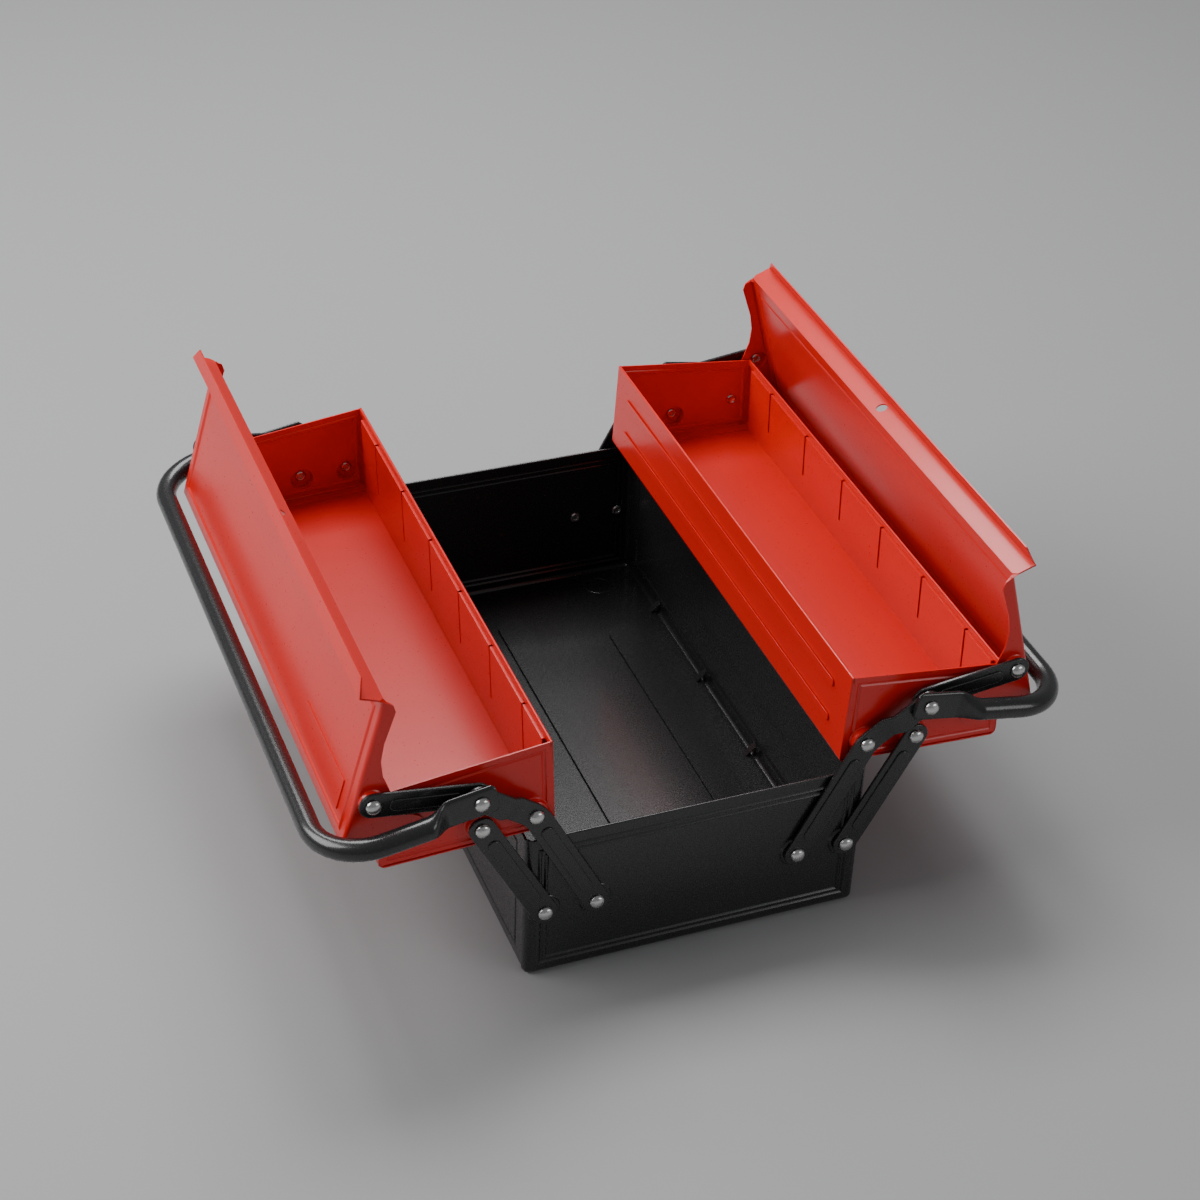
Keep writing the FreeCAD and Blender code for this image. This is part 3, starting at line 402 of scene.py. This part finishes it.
red_enamel = coated_metal("baked_red_enamel", (0.62, 0.008, 0.004), (0.72, 0.012, 0.006),
                          (0.42, 0.06, 0.04), 0.31, 700.0, 0.02, coat=0.2,
                          dust=(0.75, 0.08), wear=0.16)
tray_seat = (Matrix.Translation((pivot["right_tray_turn"].x, 0, pivot["right_tray_turn"].z))
             @ Matrix.Rotation(TRAY_TILT, 4, "Y"))
half_tray = box_mm("tray_body_right")[1].y
HALF_TURN = Matrix.Rotation(math.pi, 4, "Z")
SIDES = (("right", Matrix.Identity(4)), ("left", HALF_TURN))


def outer_wall(height, inward=0.0):
    slope = WALL_LEAN / (OUTER_TOP - TRAY_FLOOR)
    return OUTER_FOOT - slope * (height - TRAY_FLOOR) - inward, height


tray = folded_strip([(INNER_WALL + 2 * SHEET, INNER_TOP - TRAY_HEM),
                     (INNER_WALL + 2 * SHEET, INNER_TOP), (INNER_WALL, INNER_TOP),
                     (INNER_WALL, TRAY_FLOOR), (OUTER_FOOT, TRAY_FLOOR),
                     outer_wall(OUTER_TOP), outer_wall(OUTER_TOP, 2 * SHEET),
                     outer_wall(OUTER_TOP - TRAY_HEM, 2 * SHEET)], -half_tray, half_tray)
face_away_from(tray, (35, 0, 20))
fold_along(tray, edges_where(tray, lambda c: near(c.x, INNER_WALL)
                             and near(c.z, TRAY_FLOOR)), INNER_BEND)
fold_along(tray, edges_where(tray, lambda c: near(c.x, OUTER_FOOT)
                             and near(c.z, TRAY_FLOOR)), OUTER_BEND)
for top in (INNER_TOP, OUTER_TOP):
    fold_along(tray, edges_where(tray, lambda c: near(c.z, top)), RIM_BEND, segments=3)
for height in TRAY_BEAD_HEIGHTS:
    pressed_rib(tray, (INNER_WALL, -half_tray + TRAY_BEAD_END, height),
                (INNER_WALL, half_tray - TRAY_BEAD_END, height),
                TRAY_BEAD_WIDTH, TRAY_BEAD_RISE, (-1, 0, 0))
hang(tray, tray_seat)
for side, place in SIDES:
    fit(f"tray_sheet_{side}", tray, f"{side}_tray", [f"tray_body_{side}"], red_enamel,
        SHEET, place=place)

# ---------------------------------------------------------------- tray ends
# A separate end of the same sheet is welded into each tray by a foot flange. A shallow bead
# frames it, and two deep pressed bosses carry the link rivets.
FOUR = (("right_front", Matrix.Identity(4)), ("right_rear", Matrix.Scale(-1, 4, (0, 1, 0))),
        ("left_front", Matrix.Scale(-1, 4, (1, 0, 0))), ("left_rear", HALF_TURN))
FLANGE, FLANGE_BEND = 8.0, 1.8
TRAY_END_BEAD = (3.4, 2.6, -0.75)
TRAY_BOSS_HOLE = 7.0
PIVOT_SPACING = 29.3
SIDE_GAP, TOP_GAP = 0.5, 0.3
PLAY = 0.3


def punch(mesh, x, z, radius, sides=18):
    """Cut a round hole along y through the sheet by trimming it with flat cuts."""
    ways = [Vector((math.cos(math.tau * n / sides), 0, math.sin(math.tau * n / sides)))
            for n in range(sides)]
    centre = Vector((x, 0, z))

    def around(face, reach):
        if abs(face.normal.y) < 0.3:
            return False
        low = [min(v.co[i] for v in face.verts) for i in (0, 2)]
        high = [max(v.co[i] for v in face.verts) for i in (0, 2)]
        return (low[0] < x + reach and high[0] > x - reach
                and low[1] < z + reach and high[1] > z - reach)

    for way in ways:
        mesh.normal_update()
        faces = [f for f in mesh.faces if around(f, radius)]
        parts = list(dict.fromkeys([v for f in faces for v in f.verts]))
        parts += list(dict.fromkeys([e for f in faces for e in f.edges])) + faces
        slice_at(mesh, parts, centre + way * radius, way)
    waste = [f for f in mesh.faces if abs(f.normal.y) > 0.3 and all(
        (f.calc_center_median() - centre).dot(way) < radius for way in ways)]
    bmesh.ops.delete(mesh, geom=waste, context="FACES")


link_low, link_high = box_mm("outer_link_right_front")
link_inner, link_outer = -link_high.y, -link_low.y
boss_face = link_inner - PLAY
inner_side, floor_of_tray = INNER_WALL + SIDE_GAP, TRAY_FLOOR + SHEET
boss_rise = boss_face - half_tray
tray_boss = [(8.1, 0), (7.5, 0.6), (7.2, boss_rise - 0.7), (6.4, boss_rise), (0, boss_rise)]

tray_end = bmesh.new()
plate = tray_end.faces.new([tray_end.verts.new((x, -half_tray, z)) for x, z in (
    (inner_side, floor_of_tray), outer_wall(floor_of_tray, SIDE_GAP),
    outer_wall(OUTER_TOP - TOP_GAP, SIDE_GAP), (inner_side, INNER_TOP - TOP_GAP))])
face_away_from(tray_end, (35, 0, 20))
press_frame(tray_end, plate, *TRAY_END_BEAD)
foot = edges_where(tray_end, lambda c: near(c.z, floor_of_tray) and near(c.y, -half_tray))
draw_out(tray_end, foot, (0, FLANGE, 0))
bmesh.ops.recalc_face_normals(tray_end, faces=tray_end.faces[:])
face_away_from(tray_end, (35, 0, 20))
fold_along(tray_end, edges_where(tray_end, lambda c: near(c.z, floor_of_tray)
                                 and near(c.y, -half_tray)), FLANGE_BEND)
for along in (0, PIVOT_SPACING):
    punch(tray_end, along, 0, TRAY_BOSS_HOLE)
    add_turned(tray_end, tray_boss, (along, -half_tray, 0))
hang(tray_end, tray_seat)
for corner, place in FOUR:
    side = corner.split("_")[0]
    fit(f"tray_end_panel_{corner}", tray_end, f"{side}_tray", [f"tray_end_{corner}"],
        red_enamel, SHEET, place=place)

# ---------------------------------------------------------------- divider strips
# A thin slotted strip of red enamelled steel stands off each long tray wall, its top bent
# back to the wall. Six slots take loose dividers.
STRIP, STRIP_EDGE, STAND_OFF = 0.6, 0.12, 2.6
SLOTS, SLOT, SLOT_START, END_SLOT = 6, 1.6, 16, 38.8
HEM_GAP = 0.2
slot_low = floor_of_tray + SLOT_START
slot_pitch = 2 * (half_tray - END_SLOT) / (SLOTS - 1)
half_strip = half_tray - FLANGE - PLAY


def slotted_strip(face, rise):
    top = rise - TRAY_HEM - HEM_GAP
    strip = folded_strip([face(top, 0), face(top, STAND_OFF), face(floor_of_tray, STAND_OFF)],
                         -half_strip, half_strip)
    middles = [(index - (SLOTS - 1) / 2) * slot_pitch for index in range(SLOTS)]
    cuts = [((0, middle + edge * SLOT / 2, 0), (0, 1, 0))
            for middle in middles for edge in (-1, 1)] + [((0, 0, slot_low), (0, 0, 1))]
    for spot, across in cuts:
        slice_at(strip, everything(strip), spot, across)
    gone = [f for f in strip.faces if f.calc_center_median().z > slot_low
            and any(abs(f.calc_center_median().y - m) < SLOT / 2 for m in middles)]
    bmesh.ops.delete(strip, geom=gone, context="FACES")
    return strip


for which, face, rise in (
        ("inner", lambda z, inward: (INNER_WALL + SHEET + inward, z), INNER_TOP),
        ("outer", lambda z, inward: outer_wall(z, SHEET + inward), OUTER_TOP)):
    strip = slotted_strip(face, rise)
    face_away_from(strip, (-200 if which == "inner" else 300, 0, -60))
    hang(strip, tray_seat)
    for side, place in SIDES:
        fit(f"slot_strip_{which}_{side}", strip, f"{side}_tray",
            [f"divider_strip_{which}_{side}"], red_enamel, STRIP, STRIP_EDGE,
            place)

# ---------------------------------------------------------------- lids
# Each lid is one folded steel sheet in red enamel: a skirt, a framed panel with a blank
# plate, a step with a hasp hole, and a lip. Its ends bend round into ears that turn on the
# tray's hinge rivet and carry the link boss.
LID_TURN = math.radians(70.4)
LID_EDGE, LID_CORNER, LID_SKIRT = 13.8, 31.2, 12.0
FOLD_X, FOLD_Z, STEP_TOP, LIP_X = -77.3, 38.4, 51.0, -86.1
EAR_RADIUS, EAR_BEND = 11.5, 3.6
LID_BEAD = (7.0, 3.0, 0.9)
LIP_CUT = 7.0
HASP_RADIUS, HASP_REACH, HASP_MARGIN = 3.4, 7, 2.2
LONG_BEND = 100
BEND_MERGE = 0.03
BADGE_WIDTH, BADGE_LENGTH, BADGE_IN, BADGE_ALONG = 18, 69, 22, 122
LID_BOSS_HOLE = 6.1
half_lid = half_tray + 2 * SHEET
lid_seat = (Matrix.Translation((pivot["right_lid_turn"].x, 0, pivot["right_lid_turn"].z))
            @ Matrix.Rotation(LID_TURN, 4, "Y"))

lid = folded_strip([(LID_EDGE, LID_CORNER - LID_SKIRT), (LID_EDGE, LID_CORNER),
                    (FOLD_X, FOLD_Z), (FOLD_X, STEP_TOP), (LIP_X, STEP_TOP)],
                   -half_lid, half_lid)
face_away_from(lid, (-30, 0, -40))
panel = largest_face(lid, (0.08, 0, 1))
press_frame(lid, panel, *LID_BEAD)


def step_faces():
    return [f for f in lid.faces if near(f.calc_center_median().x, FOLD_X)]


for y in (-HASP_REACH, HASP_REACH):
    step = min(step_faces(), key=lambda f: abs(f.calc_center_median().y))
    slice_at(lid, [step] + step.edges[:] + step.verts[:], (0, y, 0), (0, 1, 0))
step = min(step_faces(), key=lambda f: abs(f.calc_center_median().y))
bmesh.ops.inset_region(lid, faces=[step], thickness=HASP_MARGIN, depth=0)
step_middle = (FOLD_Z + STEP_TOP) / 2
hasp_face = min(step_faces(), key=lambda f: (abs(f.calc_center_median().y)
                                             + abs(f.calc_center_median().z - step_middle)))
hasp_edges = hasp_face.edges[:]
bmesh.ops.delete(lid, geom=[hasp_face], context="FACES_ONLY")
hole = bmesh.ops.create_circle(lid, cap_ends=False, segments=20, radius=HASP_RADIUS,
                               matrix=Matrix.Translation((FOLD_X, 0, step_middle))
                               @ Matrix.Rotation(math.pi / 2, 4, "Y"))["verts"]
hole_edges = list(dict.fromkeys([e for v in hole for e in v.link_edges]))
bmesh.ops.bridge_loops(lid, edges=hasp_edges + hole_edges)
for end in (-1, 1):
    outline = [(LID_EDGE, LID_CORNER - LID_SKIRT), (LID_EDGE, LID_CORNER), (FOLD_X, FOLD_Z),
               (FOLD_X + 1.4, FOLD_Z - 6), (FOLD_X + 5, FOLD_Z - 8.6), (-52, 29.4),
               (-42, 27.6), (-33, 23.4), (-22, 14.4), (-10.8, 4)]
    outline += [(EAR_RADIUS * math.cos(math.radians(a)), EAR_RADIUS * math.sin(math.radians(a)))
                for a in range(180, 361, 20)]
    ear = bmesh.new()
    ear.faces.new([ear.verts.new((x, end * half_lid, z)) for x, z in outline])
    ear.normal_update()
    if ear.faces[:][0].normal.y * end < 0:
        bmesh.ops.reverse_faces(ear, faces=ear.faces[:])
    add_to(lid, ear)
bmesh.ops.remove_doubles(lid, verts=lid.verts[:], dist=0.001)
ear_bends = edges_where(lid, lambda c: abs(c.y) > half_lid - 0.01
                        and (near(c.x, LID_EDGE) or (near(c.x, FOLD_X) and near(c.z, FOLD_Z))))
ear_bends = [e for e in ear_bends if len(e.link_faces) == 2]
fold_along(lid, ear_bends, EAR_BEND, segments=6)
for x, z, radius in ((LID_EDGE, LID_CORNER, 3.0), (FOLD_X, FOLD_Z, 2.0),
                     (FOLD_X, STEP_TOP, 2.0)):
    bends = [e for e in edges_where(lid, lambda c: near(c.x, x) and near(c.z, z))
             if len(e.link_faces) == 2 and e.calc_length() > LONG_BEND]
    if bends:
        fold_along(lid, bends, radius)
bmesh.ops.remove_doubles(lid, verts=lid.verts[:], dist=BEND_MERGE)
bmesh.ops.dissolve_degenerate(lid, edges=lid.edges[:], dist=BEND_MERGE)
for vert in lid.verts:
    if vert.co.x < FOLD_X - 1.5 and abs(vert.co.y) > half_lid - 1:
        share = (FOLD_X - vert.co.x) / (FOLD_X - LIP_X)
        vert.co.y -= math.copysign(LIP_CUT * share, vert.co.y)
slope = math.atan2(FOLD_Z - LID_CORNER, LID_EDGE - FOLD_X)
badge = bmesh.new()
bmesh.ops.create_grid(badge, x_segments=1, y_segments=1, size=0.5)
bmesh.ops.scale(badge, vec=(BADGE_WIDTH, BADGE_LENGTH, 1), verts=badge.verts[:])
for inward, rise in ((0.5, 0.45), (0.5, 0.25)):
    bmesh.ops.inset_region(badge, faces=[max(badge.faces, key=lambda f: f.calc_area())],
                           thickness=inward, depth=rise)
hang(badge, Matrix.Translation((LID_EDGE - BADGE_IN * math.cos(slope), BADGE_ALONG,
                                LID_CORNER + BADGE_IN * math.sin(slope)))
     @ Matrix.Rotation(slope, 4, "Y"))
add_to(lid, badge)
boss_rise = boss_face - half_lid
lid_boss = [(7.3, 0), (6.7, 0.5), (6.4, boss_rise - 0.5), (5.8, boss_rise), (0, boss_rise)]
hang(lid, lid_seat)
lid_low, lid_high = box_mm("lid_rivets_right")
boss_x, boss_z = (lid_low.x + lid_high.x) / 2, (lid_low.z + lid_high.z) / 2
punch(lid, boss_x, boss_z, LID_BOSS_HOLE)
add_turned(lid, lid_boss, (boss_x, -half_lid, boss_z))
rear_boss = turned(lid_boss)
hang(rear_boss, Matrix.Translation((boss_x, half_lid, boss_z))
     @ Matrix.Rotation(-math.pi / 2, 4, "X"))
add_to(lid, rear_boss)
for side, place in SIDES:
    fit(f"lid_sheet_{side}", lid, f"{side}_lid", [f"lid_{side}"], red_enamel,
        SHEET, place=place)

# ---------------------------------------------------------------- links
# The links are stamped steel straps with round ends and a raised rib, painted satin black.
# The inner ones bend outward past the tray and joggle clear of the lid links.
LINK_WIDTH = 14.6
ELBOW_BEND = math.radians(27.3)
JOGGLE = 3.6
LINK_RIB_WIDTH, LINK_RIB_RISE, LINK_RIB_ROOT = 7.2, 0.8, 1.0
LINK_EDGE = 0.45


def strap(length, cuts=()):
    """A strap along x from its first pivot, its back on the inner layer."""
    mesh = bmesh.new()
    bmesh.ops.create_circle(mesh, cap_ends=True, segments=32, radius=LINK_WIDTH / 2)
    bmesh.ops.rotate(mesh, verts=mesh.verts[:], matrix=Matrix.Rotation(math.pi / 32, 3, "Z"))
    bmesh.ops.translate(mesh, verts=[v for v in mesh.verts if v.co.x > 0], vec=(length, 0, 0))
    raised = bmesh.ops.extrude_face_region(mesh, geom=mesh.faces[:])["geom"]
    bmesh.ops.translate(mesh, verts=[v for v in raised if isinstance(v, bmesh.types.BMVert)],
                        vec=(0, 0, link_outer - link_inner))
    bmesh.ops.recalc_face_normals(mesh, faces=mesh.faces[:])
    for cut in cuts:
        slice_at(mesh, everything(mesh), (cut, 0, 0), (1, 0, 0))
    hang(mesh, Matrix.Translation((0, -link_inner, 0)) @ Matrix.Rotation(math.pi / 2, 4, "X"))
    return mesh


def span(start, end):
    """The straight run between two pivots, seen from the end of the box."""
    return Vector((end.x - start.x, 0, end.z - start.z))


def rib_link(mesh, length, inset):
    pressed_rib(mesh, (inset, -link_outer, 0), (length - inset, -link_outer, 0),
                LINK_RIB_WIDTH, LINK_RIB_RISE, (0, -1, 0), root=LINK_RIB_ROOT)


def seat_link(mesh, start, end):
    run = span(start, end)
    hang(mesh, Matrix.Translation((start.x, 0, start.z))
         @ Matrix.Rotation(-math.atan2(run.z, run.x), 4, "Y"))


base_inner, base_outer = pivot["right_fold"], pivot["right_outer_link"]
tray_inner = pivot["right_tray_turn"]
tray_outer = tray_seat @ Vector((PIVOT_SPACING, 0, 0))
elbow = pivot["right_lid_link"]
lid_pin = Vector((boss_x, 0, boss_z))

outer_length = span(base_outer, tray_outer).length
outer_strap = strap(outer_length)
rib_link(outer_strap, outer_length, 14)
seat_link(outer_strap, base_outer, tray_outer)

lid_length = span(elbow, lid_pin).length
lid_strap = strap(lid_length)
rib_link(lid_strap, lid_length, 12)
seat_link(lid_strap, elbow, lid_pin)

inner_length = span(base_inner, tray_inner).length
elbow_reach = span(tray_inner, elbow).length
bend_cuts = (inner_length - 4, inner_length, inner_length + 4)
joggle_cuts = (inner_length + 14.5, inner_length + 20.5)
inner_strap = strap(inner_length + elbow_reach, bend_cuts + joggle_cuts)
stepped = [v for v in inner_strap.verts if v.co.x > joggle_cuts[1] - 0.01]
bmesh.ops.translate(inner_strap, verts=stepped, vec=(0, -JOGGLE, 0))
past = [[v for v in inner_strap.verts if v.co.x > cut + 0.01] for cut in bend_cuts]
for cut, verts in reversed(list(zip(bend_cuts, past))):
    bmesh.ops.rotate(inner_strap, cent=(cut, 0, 0), verts=verts,
                     matrix=Matrix.Rotation(ELBOW_BEND / 3, 3, "Y"))
rib_link(inner_strap, inner_length, 14)
seat_link(inner_strap, base_inner, tray_inner)

for kind, mesh in (("outer_link", outer_strap), ("inner_link", inner_strap),
                   ("lid_link", lid_strap)):
    for corner, place in FOUR:
        side = corner.split("_")[0]
        fit(f"{kind}_strap_{corner}", mesh, f"{side}_{kind}s", [f"{kind}_{corner}"],
            black_enamel, 0, LINK_EDGE, place)

# ---------------------------------------------------------------- handles
# Each handle is one steel tube bent to a wide bail. Both ends are pressed flat and stepped
# inward, and a rivet pins each to its elbow. It is painted with the same satin black.
TUBE = 6.0
GRIP_BEND = 31.0
FLAT_HALF, FLAT_WIDE, FLAT_STEP = 1.6, 8.8, 5.5
FLATTEN_FROM, FLAT_LENGTH, TIP, TIP_SHARE = 29, 16, 2.2, 0.76
PRESS, SQUARENESS = 1.8, 6
DROOP = math.radians(10)
TUBE_EDGE = 0.3
handle_high = box_mm("handle_right")[1]
tube_line = handle_high.y - TUBE
flat_line = tube_line - FLAT_STEP
handle_reach = (handle_high.x - TUBE - elbow.x) / math.cos(DROOP)


def draw_tube(mesh, edges, step, narrow=1.0, widen=1.0, middle=0.0):
    """Draw a ring of edges on by a step, squeezing it across y and spreading it in z."""
    ring, verts = draw_out(mesh, edges, (0, 0, 0))
    squeeze = Matrix.Translation((0, middle, 0)) @ Matrix.Diagonal((1, narrow, widen, 1))
    bmesh.ops.transform(mesh, matrix=squeeze @ Matrix.Translation((0, -middle, 0)),
                        verts=verts)
    bmesh.ops.translate(mesh, vec=step, verts=verts)
    return ring, verts


# The arm is drawn from the bend toward the elbow, squeezed a little more at each step.
handle = bmesh.new()
arm_start = handle_reach - GRIP_BEND
round_end = bmesh.ops.create_circle(handle, cap_ends=False, segments=32, radius=TUBE)["verts"]
hang(handle, Matrix.Translation((arm_start, -tube_line, 0))
     @ Matrix.Rotation(math.pi / 2, 4, "Y"))
start_edges = handle.edges[:]
ring, verts = draw_tube(handle, start_edges, (FLATTEN_FROM - arm_start, 0, 0))
middle, tall, wide = -tube_line, TUBE, TUBE
for along, share in ((-2.5, 0.10), (-2.5, 0.35), (-2.5, 0.65), (-2.5, 0.90), (-3.0, 1.0)):
    next_tall = TUBE + (FLAT_HALF - TUBE) * share
    next_wide = TUBE + (FLAT_WIDE - TUBE) * share
    next_middle = -tube_line + (tube_line - flat_line) * share
    ring, verts = draw_tube(handle, ring, (along, next_middle - middle, 0),
                            next_tall / tall, next_wide / wide, middle)
    middle, tall, wide = next_middle, next_tall, next_wide
for v in verts:
    push = (v.co.y - middle) / FLAT_HALF * PRESS
    v.co.y = middle + FLAT_HALF * push / (1 + abs(push) ** SQUARENESS) ** (1 / SQUARENESS)
ring, verts = draw_tube(handle, ring, (-(FLAT_LENGTH + FLAT_WIDE - TIP), 0, 0))
ring, verts = draw_tube(handle, ring, (-TIP, 0, 0), 1.0, TIP_SHARE, middle)
bmesh.ops.contextual_create(handle, geom=ring)
bent = bmesh.ops.spin(handle, geom=round_end + start_edges, axis=(0, 0, 1),
                      angle=math.pi / 2, cent=(arm_start, -tube_line + GRIP_BEND, 0),
                      steps=14, dvec=(0, 0, 0))["geom_last"]
draw_tube(handle, [e for e in bent if isinstance(e, bmesh.types.BMEdge)],
          (0, tube_line - GRIP_BEND, 0))
other = handle.copy()
hang(other, Matrix.Scale(-1, 4, (0, 1, 0)))
add_to(handle, other)
bmesh.ops.remove_doubles(handle, verts=handle.verts[:], dist=0.01)
bmesh.ops.recalc_face_normals(handle, faces=handle.faces[:])
hang(handle, Matrix.Translation((elbow.x, 0, elbow.z)) @ Matrix.Rotation(DROOP, 4, "Y"))
for side, place in SIDES:
    fit(f"handle_tube_{side}", handle, f"{side}_handle", [f"handle_{side}"], black_enamel,
        0, TUBE_EDGE, place)

# ---------------------------------------------------------------- rivets
# Semi-tubular steel rivets hold every pivot. Each has a low domed head outside and a rolled
# tail with a hollow centre inside, and all are bright zinc plated.
bright_zinc = coated_metal("bright_zinc", (0.55, 0.55, 0.54), (0.74, 0.74, 0.72),
                           (0.85, 0.85, 0.84), 0.24, 1800.0, 0.12, metallic=1.0)
HEAD_RADIUS, HEAD_RISE, SHANK, TAIL_RADIUS, TAIL_RISE = 4.25, 2.6, 2.5, 3.4, 1.2


def rivet(inner, seat):
    """(radius, height) corners of a rivet from its rolled tail to its domed head."""
    tail = inner - TAIL_RISE
    shape = [(0, tail + 0.9), (1.5, tail + 0.9), (1.8, tail + 0.25), (2.3, tail),
             (2.9, tail + 0.1), (TAIL_RADIUS, tail + 0.6), (TAIL_RADIUS, inner),
             (SHANK, inner), (SHANK, seat), (HEAD_RADIUS, seat), (HEAD_RADIUS, seat + 0.4)]
    for share in (0.9, 0.75, 0.55, 0.35, 0.15):
        shape.append((HEAD_RADIUS * share,
                      seat + 0.4 + (HEAD_RISE - 0.4) * math.sqrt(1 - share ** 2)))
    return shape + [(0, seat + HEAD_RISE)]


def both_ends(mesh, points, x, z):
    add_turned(mesh, points, (x, 0, z))
    rear = turned(points)
    hang(rear, Matrix.Translation((x, 0, z)) @ Matrix.Rotation(-math.pi / 2, 4, "X"))
    add_to(mesh, rear)


link_head = link_outer + PLAY
base_wall = -end_face - SHEET
boss_seat = boss_face - SHEET
tub_rivets = bmesh.new()
for spot in (base_inner, base_outer):
    for side in (-1, 1):
        both_ends(tub_rivets, rivet(base_wall, link_head), side * spot.x, spot.z)
fit("tub_rivet_set", tub_rivets, "base", ["base_rivets"], bright_zinc, 0, 0)

tray_set = bmesh.new()
for spot in (tray_inner, tray_outer):
    both_ends(tray_set, rivet(boss_seat, link_head), spot.x, spot.z)
hinge = pivot["right_lid_turn"]
ear_head = half_lid + PLAY
hinge_wall = half_tray - SHEET
both_ends(tray_set, [(0, hinge_wall - 0.5), (1.8, hinge_wall - 0.6), (2.6, hinge_wall - 1.2),
                     (3.3, hinge_wall - 0.7), (TAIL_RADIUS, hinge_wall),
                     (SHANK, hinge_wall), (SHANK, ear_head), (HEAD_RADIUS, ear_head),
                     (HEAD_RADIUS, ear_head + 0.6),
                     (3.7, ear_head + 1.2), (2.4, ear_head + 1.4), (0, ear_head + 1.4)],
          hinge.x, hinge.z)
lid_set = bmesh.new()
both_ends(lid_set, rivet(boss_seat, link_head), boss_x, boss_z)
handle_set = bmesh.new()
handle_head = flat_line + FLAT_HALF + PLAY
handle_tail = link_inner - 0.2
both_ends(handle_set, rivet(handle_tail, handle_head), elbow.x, elbow.z)
for name, mesh, body in (("tray_rivets", tray_set, "tray"), ("lid_rivets", lid_set, "lid"),
                         ("handle_rivets", handle_set, "inner_links")):
    for side, place in SIDES:
        fit(f"{name}_set_{side}", mesh, f"{side}_{body}", [f"{name}_{side}"], bright_zinc,
            0, 0, place)

# ---------------------------------------------------------------- floor, lights and camera
# The box stands on a plain pale floor under a large soft light from the upper left, a soft
# overhead light and a weak fill from the front right.
bpy.ops.mesh.primitive_plane_add(size=14, location=(0, 0, 0))
floor = bpy.context.object
floor.name = "studio_floor"
floor_paint = bpy.data.materials.new("pale_floor")
floor_paint.use_nodes = True
floor_shader = floor_paint.node_tree.nodes["Principled BSDF"]
floor_shader.inputs["Base Color"].default_value = (0.33, 0.33, 0.335, 1)
floor_shader.inputs["Roughness"].default_value = 0.7
floor.data.materials.append(floor_paint)


def softbox(name, spot, target, width, height, power):
    lamp = bpy.data.lights.new(name, "AREA")
    lamp.shape = "RECTANGLE"
    lamp.size, lamp.size_y, lamp.energy = width, height, power
    holder = bpy.data.objects.new(name, lamp)
    bpy.context.scene.collection.objects.link(holder)
    aim = (Vector(target) - Vector(spot)).to_track_quat("-Z", "Y")
    holder.matrix_world = Matrix.Translation(Vector(spot)) @ aim.to_matrix().to_4x4()


softbox("left_softbox", (-1.5, 0.4, 1.3), (0, 0, 0.1), 1.5, 1.1, 36)
softbox("overhead_softbox", (0.1, 0.9, 1.7), (0, 0, 0.1), 1.3, 0.9, 34)
softbox("front_fill", (1.3, -1.6, 0.9), (0, 0, 0.1), 1.0, 0.8, 7)
world = bpy.data.worlds.new("studio")
world.use_nodes = True
world.node_tree.nodes["Background"].inputs["Color"].default_value = (0.6, 0.61, 0.62, 1)
world.node_tree.nodes["Background"].inputs["Strength"].default_value = 0.35
bpy.context.scene.world = world

azimuth, elevation, roll = (math.radians(a) for a in (-22.128, 35.339, 2.371))
ahead = Vector((-math.sin(azimuth) * math.cos(elevation),
                math.cos(azimuth) * math.cos(elevation), -math.sin(elevation)))
level = ahead.cross(Vector((0, 0, 1))).normalized()
upward = level.cross(ahead)
right_way = math.cos(roll) * level + math.sin(roll) * upward
up_way = -math.sin(roll) * level + math.cos(roll) * upward
lens = bpy.data.cameras.new("studio_camera")
lens.sensor_width, lens.lens, lens.clip_start = 36, 75.83, 0.01
camera = bpy.data.objects.new("studio_camera", lens)
bpy.context.scene.collection.objects.link(camera)
stance = Matrix((right_way, up_way, -ahead)).transposed().to_4x4()
stance.translation = Vector((-0.44419, -1.11250, 0.96053))
camera.matrix_world = stance
bpy.context.scene.camera = camera
